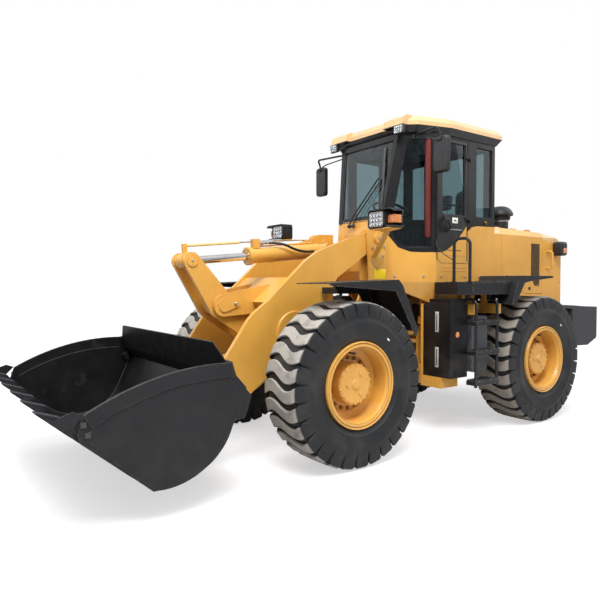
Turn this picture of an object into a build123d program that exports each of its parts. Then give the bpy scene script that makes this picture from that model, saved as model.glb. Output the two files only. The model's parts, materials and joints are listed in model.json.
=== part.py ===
from build123d import *

import math
import os

# Three-ton articulated wheel loader with a Z-bar bucket linkage.
# Millimetres. The bucket points to -Y, the machine's left side is +X, up is +Z.
# Stations along Y are measured from the front axle, ahead of it negative. The
# whole machine is moved at the end so that Y = 0 is half-way along it.

# ---- driving dimensions ----
WHEELBASE = 2625.0
TRACK = 1826.0
TYRE_RADIUS = 675.0
TYRE_WIDTH = 450.0
RIM_SEAT_RADIUS = 317.5
RIM_FLANGE_RADIUS = 352.0
RIM_WIDTH = 386.0
HITCH_Y = WHEELBASE / 2
AXLE_Z = TYRE_RADIUS
REAR_AXLE_Y = WHEELBASE

# pins of the arm, as (Y, Z), with the machine in its carry position
BOOM_PIN = (794.0, 1923.0)
BUCKET_PIN = (-1050.0, 400.0)
CRANK_PIN = (-724.0, 1304.0)
CRANK_TOP = (-997.0, 1681.0)
CRANK_LOW = (-189.0, 889.0)
LINK_PIN = (-868.0, 762.0)
LIFT_PIN = (-170.0, 1060.0)
LIFT_BASE = (1045.0, 1100.0)
TILT_BASE = (500.0, 1820.0)
BUCKET_ROLL = 40.6

# plates and clearances
FIT = 0.05
SEAT = 0.3
SIDE_GAP = 5.0
BOOM_INNER = 388.0
BOOM_PLATE = 45.0
BOOM_OUTER = BOOM_INNER + BOOM_PLATE
TOWER_GAP = 8.0
TOWER_INNER_PLATE = 25.0
TOWER_OUTER_PLATE = 20.0
MAIN_OUTER = BOOM_INNER - TOWER_GAP
MAIN_INNER = MAIN_OUTER - TOWER_INNER_PLATE
TOWER_INNER = BOOM_OUTER + TOWER_GAP
TOWER_OUTER = TOWER_INNER + TOWER_OUTER_PLATE
TOWER_BEAM_Y = 812.0
TOWER_BEAM_Z = (1610.0, 1870.0)
TOWER_FOOT_Y = 960.0
CRANK_INNER = 100.0
CRANK_PLATE = 30.0
EYE_HALF = 60.0

BUCKET_WIDTH = 2300.0
BUCKET_PLATE = 16.0
SIDE_PLATE = 20.0
SIDE_STRIP = 12.0
TOOTH_COUNT = 7

CAB_HALF = 660.0
CAB_WALL = 40.0
CAB_DOOR_FRONT = 1410.0
CAB_DOOR_REAR = 1895.0
CAB_REAR = 2360.0
CAB_FLOOR_Z = 1440.0
CAB_EAVES_Z = 2985.0
ROOF_EDGE_Z = 3045.0
ROOF_TOP_Z = 3140.0
COWL_TOP_Z = 2130.0
BASE_BOTTOM_Z = 1290.0
BASE_FRONT_Z = 1430.0
BASE_FOLD_Z = 1500.0
BASE_TAPER = 55.0

HOOD_HALF = 650.0
HOOD_TOP_Z = 2110.0
HOOD_REAR = 3735.0
DOOR_FRONT = 2510.0
DOOR_REAR = 3320.0
REAR_END = 4180.0
TAIL_HALF = 900.0
TAIL_TOP_Z = 1240.0
HOOD_FRONT = CAB_REAR + 6.0
HOOD_BOTTOM_Z = 1190.0
HOOD_SHEET = 10.0
HOOD_HINGES = (2600.0, 2900.0, 3200.0)
DOOR_HINGE_X = 515.0
DOOR_HINGE_Z = HOOD_TOP_Z + 14.0
DOOR_TOP_Z = 2955.0
HORN_BOTTOM_Z = 3035.0
DOOR_BOTTOM_Z = 1697.0
CAB_HINGE = (CAB_HALF + 16.0, 1912.0)
CAB_HINGE_HEIGHTS = (2150.0, 2790.0)
CAB_FLOOR = 12.0
BASE_WALL = 20.0
DECK_BOTTOM_Z = 1380.0
DECK_TOP_Z = 1500.0
BEAM_TOP_Z = 1280.0
DECK_SHEET = 12.0
BEAM_STATIONS = (1560.0, 1940.0)
GUARD_FOOT_Y = 1987.0
FENDER_TOP_Z = 1565.0
TOW_Y = 4115.0
TOW_RADIUS = 22.5
TOW_SLOT = 70.0
TOW_SLOT_Z = (880.0, 960.0)
TOW_FOOT_Z = 840.0
TAIL_BACK_Z = 1190.0
LAMP_Z = 1976.0
FENDER_OUTER = 1140.0
FENDER_INNER = 700.0

# frames, hitch and axles
HUB_BORE = 80.0
HUB_DEPTH = 100.0
AXLE_PAD = 125.0
FRONT_PAD_Z = AXLE_Z + AXLE_PAD
REAR_YOKE_Y = REAR_AXLE_Y - 360.0
HITCH_PIN_RADIUS = 45.0
LUG = 40.0
FORK = 35.0
UPPER_LUG_Z = 900.0
LOWER_LUG_Z = 470.0
RAIL_OUTER = 355.0
RAIL_INNER = 330.0
RAIL_TOP_Z = 1000.0
RAIL_REAR = 3573.0

# arm and its cylinders
PIN = 40.0
CROSS_BOX = (-250.0, 1360.0)
LIFT_X = 285.0
LIFT_EYE_HALF = 30.0
LIFT_INNER_LUG = LIFT_X - LIFT_EYE_HALF - SIDE_GAP - 25.0
LIFT_LENGTH = math.dist(LIFT_BASE, LIFT_PIN)
LIFT_BARREL = 1070.0
LIFT_PISTON = 124.0
TILT_LENGTH = math.dist(TILT_BASE, CRANK_TOP)
TILT_BARREL = 905.0
TILT_PISTON = 420.0
# on the tilt cylinder, from its base pin: x across, y up, z along
LEVEL_Y = 130.0
LEVEL_TAIL = 260.0
GUIDE_SPAN = (770.0, 840.0)
HOSE_RADIUS = 12.0
HOSE_ROUTE = [
    (24.0, 112.0, GUIDE_SPAN[0]),
    (24.0, 112.0, 655.0),
    (86.0, 88.0, 540.0),
    (108.0, 26.0, 425.0),
    (104.0, 0.0, 310.0),
    (104.0, 0.0, 215.0),
]
STEER_BASE = (240.0, 1850.0)
STEER_EYE = (240.0, 1185.0)
STEER_Z = 720.0
STEER_EYE_HALF = 25.0
STEER_LUG_TOP = STEER_Z + STEER_EYE_HALF + SIDE_GAP
STEER_PIN = 20.0
STEER_LENGTH = math.dist(STEER_BASE, STEER_EYE)
STEER_BARREL = 440.0
STEER_PISTON = 215.0

# bucket, drawn level: u forward from the heel, w up from the floor
BUCKET_PIN_UW = (-404.0, 592.0)
HEEL_RADIUS = 440.0
HEEL_CENTRE = (191.0, 440.0)
CREST_BACK = 150.0
FLOOR_END = 560.0
EDGE_END = 728.0
TOOTH_END = 874.0
EDGE_PLATE = 30.0


# ---- helpers ----
def outline(points, radius=0.0):
    """A closed face through the points, its corners rounded where a radius is given."""
    if radius:
        return make_face(FilletPolyline(*points, radius=radius, close=True))
    return make_face(Polyline(*points, close=True))


def slab(face, x, thickness):
    """A plate in the Y-Z plane, from x towards +X."""
    return extrude(Plane.YZ.offset(x) * face, thickness)


def deck_plate(face, z, thickness):
    """A level plate, from z upwards."""
    return extrude(Plane.XY.offset(z) * face, thickness)


def cross_wall(face, y, thickness):
    """A plate in the X-Z plane, from y towards +Y."""
    plane = Plane(origin=(0, y, 0), x_dir=(1, 0, 0), z_dir=(0, -1, 0))
    return extrude(plane * face, -thickness)


def block(x0, x1, y0, y1, z0, z1):
    """A box between two corners."""
    centre = ((x0 + x1) / 2, (y0 + y1) / 2, (z0 + z1) / 2)
    return Pos(*centre) * Box(x1 - x0, y1 - y0, z1 - z0)


def disc(pin, x0, x1, radius):
    """A cylinder along X at a (Y, Z) pin."""
    low = Align.MIN
    shape = Cylinder(radius, x1 - x0, align=(Align.CENTER, Align.CENTER, low))
    return Pos(x0, pin[0], pin[1]) * Rot(0, 90, 0) * shape


def post(x, y, z0, z1, radius):
    """An upright cylinder."""
    low = Align.MIN
    return Pos(x, y, z0) * Cylinder(radius, z1 - z0, align=(Align.CENTER, Align.CENTER, low))


def bar(start, end, radius):
    """A round bar between two points."""
    start, end = Vector(*start), Vector(*end)
    low = Align.MIN
    shape = Cylinder(radius, (end - start).length, align=(Align.CENTER, Align.CENTER, low))
    return Plane(origin=start, z_dir=end - start) * shape


def belt(a, radius_a, b, radius_b):
    """The face that a tight belt round two circles encloses, centres as (Y, Z)."""
    rings = (Pos(*a) * Circle(radius_a)).edges() + (Pos(*b) * Circle(radius_b)).edges()
    return make_hull(rings)


def both(shape):
    """The shape and its mirror image on the other side of the machine."""
    return shape + mirror(shape, about=Plane.YZ)


def tube(points, bend, radius):
    """A round tube along straight runs joined by arcs."""
    path = FilletPolyline(*points, radius=bend)
    start = path @ 0
    profile = Plane(origin=start, z_dir=path % 0) * Circle(radius)
    return sweep(profile, path=path)


def along(a, b, distance):
    """The (Y, Z) point that lies the distance from a towards b."""
    length = math.dist(a, b)
    return tuple(a[i] + (b[i] - a[i]) * distance / length for i in (0, 1))


# ---- wheels ----
def tyre():
    """Hollow tyre centred on the origin, its axle along X."""
    half, bead, wall = TYRE_WIDTH / 2, RIM_WIDTH / 2 - 17, 26.0
    seat = RIM_SEAT_RADIUS + SEAT
    shoulder = TYRE_RADIUS - 50
    right = [
        Line((0, TYRE_RADIUS), (half - 45, TYRE_RADIUS - 12)),
        ThreePointArc((half - 45, TYRE_RADIUS - 12), (half - 26, TYRE_RADIUS - 24), (half - 18, shoulder)),
        ThreePointArc((half - 18, shoulder), (half, 490), (bead, RIM_FLANGE_RADIUS)),
        Line((bead, RIM_FLANGE_RADIUS), (bead, seat)),
        Line((bead, seat), (bead - 45, seat)),
        Line((bead - 45, seat), (bead - 45, RIM_FLANGE_RADIUS)),
        ThreePointArc(
            (bead - 45, RIM_FLANGE_RADIUS), (half - wall, 490), (half - 18 - wall, shoulder - wall)
        ),
        Line((half - 18 - wall, shoulder - wall), (0, TYRE_RADIUS - 60)),
        Line((0, TYRE_RADIUS - 60), (0, TYRE_RADIUS)),
    ]
    return both(revolve(make_face(right), Axis.X, 360))


def rim():
    """Flat-base rim with its web and hub, the outer side towards +X."""
    half, seat = RIM_WIDTH / 2, RIM_SEAT_RADIUS
    flange = 15.0
    section = [
        (-half, seat - 22),
        (-half, RIM_FLANGE_RADIUS),
        (-half + flange, RIM_FLANGE_RADIUS),
        (-half + flange, seat),
        (half - flange, seat),
        (half - flange, RIM_FLANGE_RADIUS),
        (half, RIM_FLANGE_RADIUS - 8),
        (half, seat - 12),
        (half - 30, seat - 22),
        (30, seat - 22),
        (18, 230),
        (18, 172),
        (118, 168),
        (131, 150),
        (131, 45),
        (140, 40),
        (140, 0),
        (HUB_DEPTH, 0),
        (HUB_DEPTH, HUB_BORE + FIT),
        (0, HUB_BORE + FIT),
        (0, seat - 22),
    ]
    return revolve(make_face(Polyline(*section, close=True)), Axis.X, 360)


def axle(nose):
    """Drive axle centred on the origin; nose is +1 or -1, the side of its pinion."""
    reach = TRACK / 2
    section = [
        (0, 0),
        (0, 175),
        (70, 168),
        (150, 128),
        (230, 105),
        (reach - 190, 105),
        (reach - 190, 190),
        (reach - 110, 190),
        (reach - 60, 150),
        (reach - SIDE_GAP, 150),
        (reach - SIDE_GAP, HUB_BORE),
        (reach + HUB_DEPTH - SIDE_GAP, HUB_BORE),
        (reach + HUB_DEPTH - SIDE_GAP, 0),
    ]
    housing = both(revolve(make_face(Polyline(*section, close=True)), Axis.X, 360))
    pad = both(block(300, 470, -110, 110, 60, AXLE_PAD))
    snout = bar((0, nose * 100, 0), (0, nose * 300, 0), 95)
    yoke = bar((0, nose * 300, 0), (0, nose * 360, 0), 60)
    return housing + pad + snout + yoke


# ---- front frame and arm ----


def front_frame():
    """Two side plates with boom towers, cross plates and the hitch lugs."""
    pad = FRONT_PAD_Z
    inner = outline(
        [
            (-190, pad),
            (-190, 870),
            (-150, 905),
            (100, 1000),
            (520, 1120),
            (650, 1400),
            (655, 1990),
            (712, 2012),
            (905, 2018),
            (905, 1300),
            (1000, 1190),
            (1120, 1190),
            (1120, LOWER_LUG_Z - 40),
            (760, LOWER_LUG_Z - 40),
            (300, pad),
        ]
    )
    outer = outline(
        [
            (430, 820),
            (430, 960),
            (610, 1250),
            (690, 1533),
            (655, 1985),
            (712, 2012),
            (905, 2018),
            (905, 1280),
            (TOWER_FOOT_Y, 1180),
            (TOWER_FOOT_Y, 820),
        ]
    )
    side = slab(inner, MAIN_INNER, TOWER_INNER_PLATE)
    side += slab(outer, TOWER_INNER, TOWER_OUTER_PLATE)
    side += block(MAIN_OUTER, TOWER_INNER, 885, 905, 1290, 2005)
    side += block(MAIN_OUTER, TOWER_INNER, 560, 905, 1200, 1220)
    side += block(MAIN_OUTER, TOWER_INNER, 430, TOWER_FOOT_Y, 820, 840)
    lug = belt(LIFT_BASE, 75, (1140, 1020), 75) - Pos(1320, 1000) * Rectangle(400, 900)
    side += slab(lug, LIFT_INNER_LUG, 25)
    frame = both(side)
    half = MAIN_INNER
    # cross plates: front tie, floor, bulkhead, and the beam behind the towers
    frame += block(-half, half, 150, 175, pad, 950)
    bulkhead = block(-half, half, 1095, 1120, LOWER_LUG_Z - 40, 1040)
    frame += bulkhead - bar((0, 1000, AXLE_Z), (0, 1200, AXLE_Z), 75)
    frame += both(steer_lugs(STEER_EYE, 1110))
    frame += block(-half, half, 760, 1095, LOWER_LUG_Z - 40, LOWER_LUG_Z - 15)
    frame += block(-half, half, TOWER_BEAM_Y - 30, TOWER_BEAM_Y, *TOWER_BEAM_Z)
    # ears of the tilt cylinder, carried by the beam
    ear = belt(TILT_BASE, 70, (TOWER_BEAM_Y, TILT_BASE[1] - 50), 100)
    ears = slab(ear, 65, 30) - block(0, 200, TOWER_BEAM_Y - 10, 1100, 1500, 2000)
    frame += both(ears)
    for z in (UPPER_LUG_Z, LOWER_LUG_Z):
        lug = make_hull(
            Polyline((-250, 1110), (250, 1110)).edges()
            + (Pos(0, HITCH_Y) * Circle(105)).edges()
        )
        frame += deck_plate(lug, z, LUG)
    for z in (UPPER_LUG_Z, LOWER_LUG_Z):
        frame -= post(0, HITCH_Y, z - 1, z + LUG + 1, HITCH_PIN_RADIUS + FIT)
    bore = PIN + FIT
    frame -= both(disc(BOOM_PIN, MAIN_INNER - 1, TOWER_OUTER + 1, bore))
    frame -= both(disc(LIFT_BASE, LIFT_INNER_LUG - 1, MAIN_OUTER + 1, bore))
    frame -= both(disc(TILT_BASE, 60, 100, bore))
    return frame


def front_pins():
    """Boom pins with heads, the tilt cylinder's rear pin and the lift cylinders' rear pins."""
    boom = disc(BOOM_PIN, MAIN_INNER - 12, TOWER_OUTER + 14, PIN)
    boom += disc(BOOM_PIN, TOWER_OUTER, TOWER_OUTER + 14, PIN + 12)
    lift = disc(LIFT_BASE, LIFT_INNER_LUG - 8, MAIN_OUTER + 8, PIN)
    tilt = disc(TILT_BASE, -107, 107, PIN)
    return both(boom + lift) + tilt


def boom():
    """Two profiled plates joined by a cross box, with ears for the bellcrank."""
    plate = outline(
        [
            (-1146, 468),
            (-865, 869),
            (-642, 1183),
            (-585, 1243),
            (-433, 1351),
            (-46, 1694),
            (90, 1779),
            (460, 1912),
            (768, 2004),
            (842, 1852),
            (682, 1775),
            (460, 1632),
            (321, 1549),
            (150, 1290),
            (0, 1130),
            (-53, 904),
            (-420, 723),
            (-979, 305),
        ]
    )
    plate += Pos(*BUCKET_PIN) * Circle(118)
    plate += Pos(*LIFT_PIN) * Circle(195)
    plate += Pos(*BOOM_PIN) * Circle(85)
    side = slab(plate, BOOM_INNER, BOOM_PLATE)
    side += disc(LIFT_PIN, BOOM_OUTER, BOOM_OUTER + 20, 185)
    side += disc(LIFT_PIN, LIFT_X + LIFT_EYE_HALF + SIDE_GAP, BOOM_INNER, 80)
    ear = belt(CRANK_PIN, 95, CROSS_BOX, 125)
    side += slab(ear, 150, 25)
    body = both(side)
    body += cross_box(340, 200) - cross_box(300, 160)
    bore = PIN + FIT
    body -= both(disc(BOOM_PIN, BOOM_INNER - 1, BOOM_OUTER + 1, bore))
    body -= both(disc(BUCKET_PIN, BOOM_INNER - 1, BOOM_OUTER + 1, bore))
    body -= disc(CRANK_PIN, -200, 200, bore)
    return body


def cross_box(length, height):
    """The boom's cross member, its length along the boom."""
    slope = math.degrees(math.atan2(BOOM_PIN[1] - BUCKET_PIN[1], BOOM_PIN[0] - BUCKET_PIN[0]))
    shape = Box(2 * BOOM_INNER, length, height)
    return Pos(0, *CROSS_BOX) * Rot(slope, 0, 0) * shape


def crank_pin():
    """Bellcrank pivot pin with a keeper plate on each end."""
    pin = disc(CRANK_PIN, -187, 187, PIN)
    keeper = belt(CRANK_PIN, 55, along(CRANK_PIN, CROSS_BOX, 120), 30)
    return pin + both(slab(keeper, 175, 12))


def bellcrank():
    """Two plates on a hub: rod pin on top, link pin at the low end."""
    plate = belt(CRANK_TOP, 72, CRANK_PIN, 120) + belt(CRANK_PIN, 120, CRANK_LOW, 72)
    side = slab(plate, CRANK_INNER, CRANK_PLATE)
    for pin in (CRANK_TOP, CRANK_LOW):
        side += disc(pin, EYE_HALF + SIDE_GAP, CRANK_INNER, 62)
        side += disc(pin, CRANK_INNER + CRANK_PLATE, CRANK_INNER + CRANK_PLATE + 10, 48)
    body = both(side)
    body += disc(CRANK_PIN, -145, 145, 85)
    web_a = along(CRANK_PIN, CRANK_LOW, 170)
    body += disc(web_a, -CRANK_INNER, CRANK_INNER, 45)
    body -= disc(CRANK_PIN, -150, 150, PIN + FIT)
    return body


def bucket_link():
    """Bar with an eye at each end, from bellcrank to bucket."""
    link = slab(belt(LINK_PIN, 50, CRANK_LOW, 50), -38, 76)
    for pin in (LINK_PIN, CRANK_LOW):
        link += disc(pin, -EYE_HALF, EYE_HALF, 68)
    return link - disc(LINK_PIN, -EYE_HALF - 1, EYE_HALF + 1, PIN + FIT)


# ---- bucket, drawn level: u forward from the heel, w up from the floor ----


def place_bucket(shape):
    """Moves a shape drawn in the bucket's (X, -u, w) frame onto the boom's front pin."""
    at_pin = Pos(0, BUCKET_PIN_UW[0], -BUCKET_PIN_UW[1]) * shape
    return Pos(0, *BUCKET_PIN) * Rot(-BUCKET_ROLL, 0, 0) * at_pin


def uw(points):
    """Bucket (u, w) points as (Y, Z) before the bucket is rolled back."""
    return [(-u, w) for u, w in points]


def to_uw(pin):
    """An arm pin, (Y, Z), in the bucket's drawing frame, (Y, Z) before the roll."""
    angle = math.radians(BUCKET_ROLL)
    y, z = pin[0] - BUCKET_PIN[0], pin[1] - BUCKET_PIN[1]
    turned = (y * math.cos(angle) - z * math.sin(angle), y * math.sin(angle) + z * math.cos(angle))
    return (turned[0] - BUCKET_PIN_UW[0], turned[1] + BUCKET_PIN_UW[1])


def shell_face(inset, reach=0.0):
    """The bucket's filled side profile, shrunk behind and below and reaching past the mouth."""
    top, lip = 885 - inset, (-66 - reach, 938 - inset + 0.64 * reach)
    edges = [
        Line((-FLOOR_END - reach, inset), (-HEEL_CENTRE[0], inset)),
        *heel_edges(inset),
        Line(back_knee(inset), (CREST_BACK - inset, 850)),
        Line((CREST_BACK - inset, 850), (CREST_BACK - 15 - inset, 869 - inset)),
        Line((CREST_BACK - 15 - inset, 869 - inset), (17, top)),
        Line((17, top), lip),
        Line(lip, (-FLOOR_END - reach, inset)),
    ]
    return make_face(edges)


def bucket():
    """Rolled shell, side plates, back ears, stiffener and spill guard."""
    half = BUCKET_WIDTH / 2 - SIDE_STRIP
    filled = slab(shell_face(0), -half, 2 * half)
    shell = filled - slab(shell_face(BUCKET_PLATE, 300), -half, 2 * half)
    # side plates close the ends; their upper edge is an arc from crest to lip
    crest, lip = (-66.0, 930.0), (-651.0, 136.0)
    cheek = make_face(
        [
            ThreePointArc(crest, (-443.0, 533.0), lip),
            Line(lip, (-610, 30)),
            Line((-610, 30), (-FLOOR_END, 0)),
            Line((-FLOOR_END, 0), (-HEEL_CENTRE[0], 0)),
            *heel_edges(0),
            Line(back_knee(0), (CREST_BACK, 850)),
            Line((CREST_BACK, 850), (CREST_BACK - 15, 869)),
            Line((CREST_BACK - 15, 869), (17, 885)),
            Line((17, 885), crest),
        ]
    )
    body = shell + both(slab(cheek, half - SIDE_PLATE, SIDE_PLATE))
    strip = make_face(
        [
            ThreePointArc(crest, (-443.0, 533.0), lip),
            Line(lip, (-570, 100)),
            ThreePointArc((-570, 100), (-370, 480), (0, 860)),
            Line((0, 860), crest),
        ]
    )
    body += both(slab(strip, half, SIDE_STRIP))
    ears = []
    for x in (BOOM_INNER - SIDE_GAP - 30, BOOM_OUTER + SIDE_GAP):
        ear = make_hull(
            (Pos(*to_uw(BUCKET_PIN)) * Circle(95)).edges()
            + Polyline((235, 300), (200, 640), (120, 860)).edges()
        )
        ears.append(slab(ear, x, 30))
    ear = make_hull(
        (Pos(*to_uw(LINK_PIN)) * Circle(80)).edges()
        + Polyline((225, 520), (200, 640), (110, 850)).edges()
    )
    ears.append(slab(ear, EYE_HALF + SIDE_GAP, 35))
    for ear in ears:
        body += both(ear - filled)
    rib = outline([(200, 640), (262, 700), (205, 850), (140, 860)])
    slot = block(-EYE_HALF - SIDE_GAP, EYE_HALF + SIDE_GAP, 120, 300, 600, 900)
    body += slab(rib, -half, 2 * half) - filled - slot
    guard = outline([(-30, 915), (-66, 938), (-170, 1008), (-177, 997), (-66, 922)])
    corners = both(cross_wall(outline([(901, 1020), (1140, 1020), (1140, 900), (1112, 900)]), -400, 800))
    body += slab(guard, -1112, 2224) - corners
    bore = PIN + FIT
    body -= both(disc(to_uw(BUCKET_PIN), BOOM_INNER - 60, BOOM_OUTER + 60, bore))
    body -= disc(to_uw(LINK_PIN), -120, 120, bore)
    return place_bucket(body)


def heel_edges(inset):
    """The rolled heel from floor to back."""
    radius, (cu, cw) = HEEL_RADIUS - inset, HEEL_CENTRE
    middle = radius * math.sqrt(0.5)
    return [ThreePointArc((-cu, cw - radius), (-cu + middle, cw - middle), back_knee(inset))]


def back_knee(inset):
    """Where the rolled heel meets the flat back."""
    radius, angle = HEEL_RADIUS - inset, math.radians(22)
    return (-HEEL_CENTRE[0] + radius * math.cos(angle), HEEL_CENTRE[1] + radius * math.sin(angle))


def bucket_edge():
    """Bevelled cutting edge with its row of teeth, the outer ones on corner cheeks."""
    half = BUCKET_WIDTH / 2
    plate = outline(uw([
        (FLOOR_END, 0), (EDGE_END - 35, 0), (EDGE_END, 14), (EDGE_END, EDGE_PLATE),
        (FLOOR_END, EDGE_PLATE),
    ]))
    body = slab(plate, -half + SIDE_STRIP + SIDE_PLATE + 1, 2 * (half - SIDE_STRIP - SIDE_PLATE - 1))
    front = outline(uw([
        (625, 0), (EDGE_END - 35, 0), (EDGE_END, 14), (EDGE_END, EDGE_PLATE),
        (640, EDGE_PLATE),
    ]))
    body += slab(front, -half + SIDE_STRIP, 2 * (half - SIDE_STRIP))
    tooth = outline(uw([
        (612, EDGE_PLATE), (650, 54), (745, 58), (TOOTH_END, 8), (TOOTH_END, 0),
        (EDGE_END - 20, 0), (EDGE_END - 20, EDGE_PLATE),
    ]))
    pitch = 2 * (half - 50) / (TOOTH_COUNT - 1)
    for i in range(TOOTH_COUNT):
        x = -(half - 50) + i * pitch
        body += slab(tooth, x - 38, 76)
    cheek = outline(uw([(655, 140), (715, 120), (770, 30), (TOOTH_END - 20, 2), (690, 0), (660, 60)]))
    body += both(slab(cheek, half - SIDE_STRIP + 0.5, SIDE_STRIP - 0.5))
    return place_bucket(body)


def bucket_pins():
    """Pins that hold the bucket on the boom and on the link."""
    inner = BOOM_INNER - SIDE_GAP - 30
    outer = BOOM_OUTER + SIDE_GAP + 30
    boom = disc(BUCKET_PIN, inner - 12, outer, PIN) + disc(BUCKET_PIN, outer, outer + 12, PIN + 14)
    link = disc(LINK_PIN, -EYE_HALF - SIDE_GAP - 35, EYE_HALF + SIDE_GAP + 47, PIN)
    return both(boom) + link


# ---- cylinders ----
def cylinder_frame(base, end, x):
    """A plane at the base pin whose Z runs along the cylinder and whose X is the machine's."""
    direction = (0, end[0] - base[0], end[1] - base[1])
    return Plane(origin=(x, *base), x_dir=(1, 0, 0), z_dir=direction)


def turned(radius, z0, z1):
    """A round length on the cylinder's own axis."""
    shape = Cylinder(radius, z1 - z0, align=(Align.CENTER, Align.CENTER, Align.MIN))
    return Pos(0, 0, z0) * shape


def eye_ring(radius, half, z):
    """An eye across the cylinder's axis."""
    return Pos(0, 0, z) * Rot(0, 90, 0) * Cylinder(radius, 2 * half)


def barrel(radius, bore, length, eye_radius, eye_half, rod):
    """Cylinder body with its base eye, bore and gland, drawn along Z from the base pin."""
    neck = eye_radius + 18
    body = turned(radius, neck, length) + turned(radius + 10, length - 45, length)
    body += turned(eye_half - 5, 0, neck + 5) + eye_ring(eye_radius, eye_half, 0)
    body -= turned(bore, neck + 12, length - 35) + turned(rod + FIT, length - 40, length + 1)
    return body - eye_ring(PIN + FIT, eye_half + 1, 0)


def ram(bore, piston, length, eye_radius, eye_half, rod):
    """Piston, rod and rod eye; the eye is filled by its own bush and pin core."""
    body = turned(bore - FIT, piston, piston + 40) + turned(rod, piston, length)
    return body + eye_ring(eye_radius, eye_half, length)


def lift_barrels():
    """The pair of lift cylinder bodies."""
    body = barrel(65, 52, LIFT_BARREL, 62, LIFT_EYE_HALF, 32)
    return both(cylinder_frame(LIFT_BASE, LIFT_PIN, LIFT_X) * body)


def lift_rods():
    """The pair of lift cylinder rods."""
    body = ram(52, LIFT_PISTON, LIFT_LENGTH, 62, LIFT_EYE_HALF, 32)
    return both(cylinder_frame(LIFT_BASE, LIFT_PIN, LIFT_X) * body)


def tilt_barrel():
    """Tilt cylinder body with the guide of its level rod and two hose ports."""
    body = barrel(70, 57, TILT_BARREL, 66, EYE_HALF, 35)
    start, end = GUIDE_SPAN
    guide = block(-18, 36, 66, LEVEL_Y + 22, start, end)
    body += guide - bar((0, LEVEL_Y, start - 1), (0, LEVEL_Y, end + 1), 10)
    x, y, z = HOSE_ROUTE[-1]
    body += block(60, x + 18, y - 18, y + 18, z - 30, z)
    return cylinder_frame(TILT_BASE, CRANK_TOP, 0) * body


def tilt_rod():
    """Tilt cylinder rod; a post on its eye carries the level rod through the guide."""
    body = ram(57, TILT_PISTON, TILT_LENGTH, 68, EYE_HALF, 35)
    body += block(-14, 14, 60, LEVEL_Y + 16, TILT_LENGTH - 20, TILT_LENGTH + 20)
    body += bar((0, LEVEL_Y, GUIDE_SPAN[0] - LEVEL_TAIL), (0, LEVEL_Y, TILT_LENGTH), 8)
    return cylinder_frame(TILT_BASE, CRANK_TOP, 0) * body


def tilt_hose():
    """Hose along the tilt cylinder, from the port at its front to the one at its base."""
    radii = bend_radii(HOSE_ROUTE)
    print("tilt hose bend radii", [round(radius) for radius in radii])
    path = FilletPolyline(*HOSE_ROUTE, radius=radii)
    profile = Plane(origin=path @ 0, z_dir=path % 0) * Circle(HOSE_RADIUS)
    return cylinder_frame(TILT_BASE, CRANK_TOP, 0) * sweep(profile, path=path)


def bend_radii(points):
    """The largest arc that each corner of a route leaves room for."""
    runs = [Vector(*b) - Vector(*a) for a, b in zip(points, points[1:])]
    radii = []
    for before, after in zip(runs, runs[1:]):
        half_turn = math.radians(before.get_angle(after)) / 2
        radii.append(0.45 * min(before.length, after.length) / math.tan(half_turn))
    return radii


def steer_lugs(point, wall_y):
    """A pair of lugs round an upright pin, reaching to a wall at wall_y."""
    x, y = point
    ring = (Pos(x, y) * Circle(40)).edges()
    lug = make_hull(ring + Polyline((x - 50, wall_y), (x + 50, wall_y)).edges())
    top = STEER_Z + STEER_EYE_HALF + SIDE_GAP
    return deck_plate(lug, top, 18) + deck_plate(lug, 2 * STEER_Z - top - 18, 18)


def steer_frame(side):
    """A plane at a steering cylinder's base; Z runs to its eye, X is upright."""
    direction = (side * (STEER_EYE[0] - STEER_BASE[0]), STEER_EYE[1] - STEER_BASE[1], 0)
    return Plane(origin=(side * STEER_BASE[0], STEER_BASE[1], STEER_Z), x_dir=(0, 0, 1), z_dir=direction)


def steer_barrel(side):
    """Steering cylinder body with its base eye and bore."""
    gland = STEER_BARREL - 22
    body = turned(40, 50, STEER_BARREL) + turned(46, STEER_BARREL - 35, STEER_BARREL)
    body += turned(20, 0, 55) + eye_ring(36, STEER_EYE_HALF, 0)
    body -= turned(32, 62, gland) + turned(22 + FIT, gland - 1, STEER_BARREL + 1)
    return steer_frame(side) * (body - eye_ring(STEER_PIN + FIT, STEER_EYE_HALF + 1, 0))


def steer_rod(side):
    """Piston, rod and rod eye of a steering cylinder."""
    body = turned(32 - FIT, STEER_PISTON, STEER_PISTON + 22) + turned(22, STEER_PISTON, STEER_LENGTH)
    return steer_frame(side) * (body + eye_ring(36, STEER_EYE_HALF, STEER_LENGTH))


# ---- front body fittings ----


def front_fenders():
    """Folded mudguards with a deepening skirt, on two arms from each tower."""
    skin = [
        (-342, 1494), (389, 1521), (440, 1470), (624, 1086), (616, 1082), (432, 1466),
        (386, 1513), (-342, 1486),
    ]
    skirt = [(-342, 1494), (389, 1521), (440, 1470), (624, 1086), (596, 1032), (355, 1425), (-342, 1473)]
    guard = slab(outline(skin), FENDER_INNER, FENDER_OUTER - FENDER_INNER)
    guard += slab(outline(skirt), FENDER_OUTER - 8, 8)
    panel = [(40, 1504), (360, 1515), (430, 1460), (560, 1180), (470, 1180), (330, 1400), (90, 1400)]
    guard += slab(outline(panel), FENDER_INNER, 8)
    for y in (120, 300):
        guard += block(TOWER_OUTER + 170, FENDER_INNER + 4, y, y + 50, 1400, 1450)
        guard += block(TOWER_OUTER, TOWER_OUTER + 180, y, y + 50, 1400, 1450)
    guard += block(TOWER_OUTER, TOWER_OUTER + 12, 110, 700, 1395, 1455)
    return both(guard)


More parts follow.
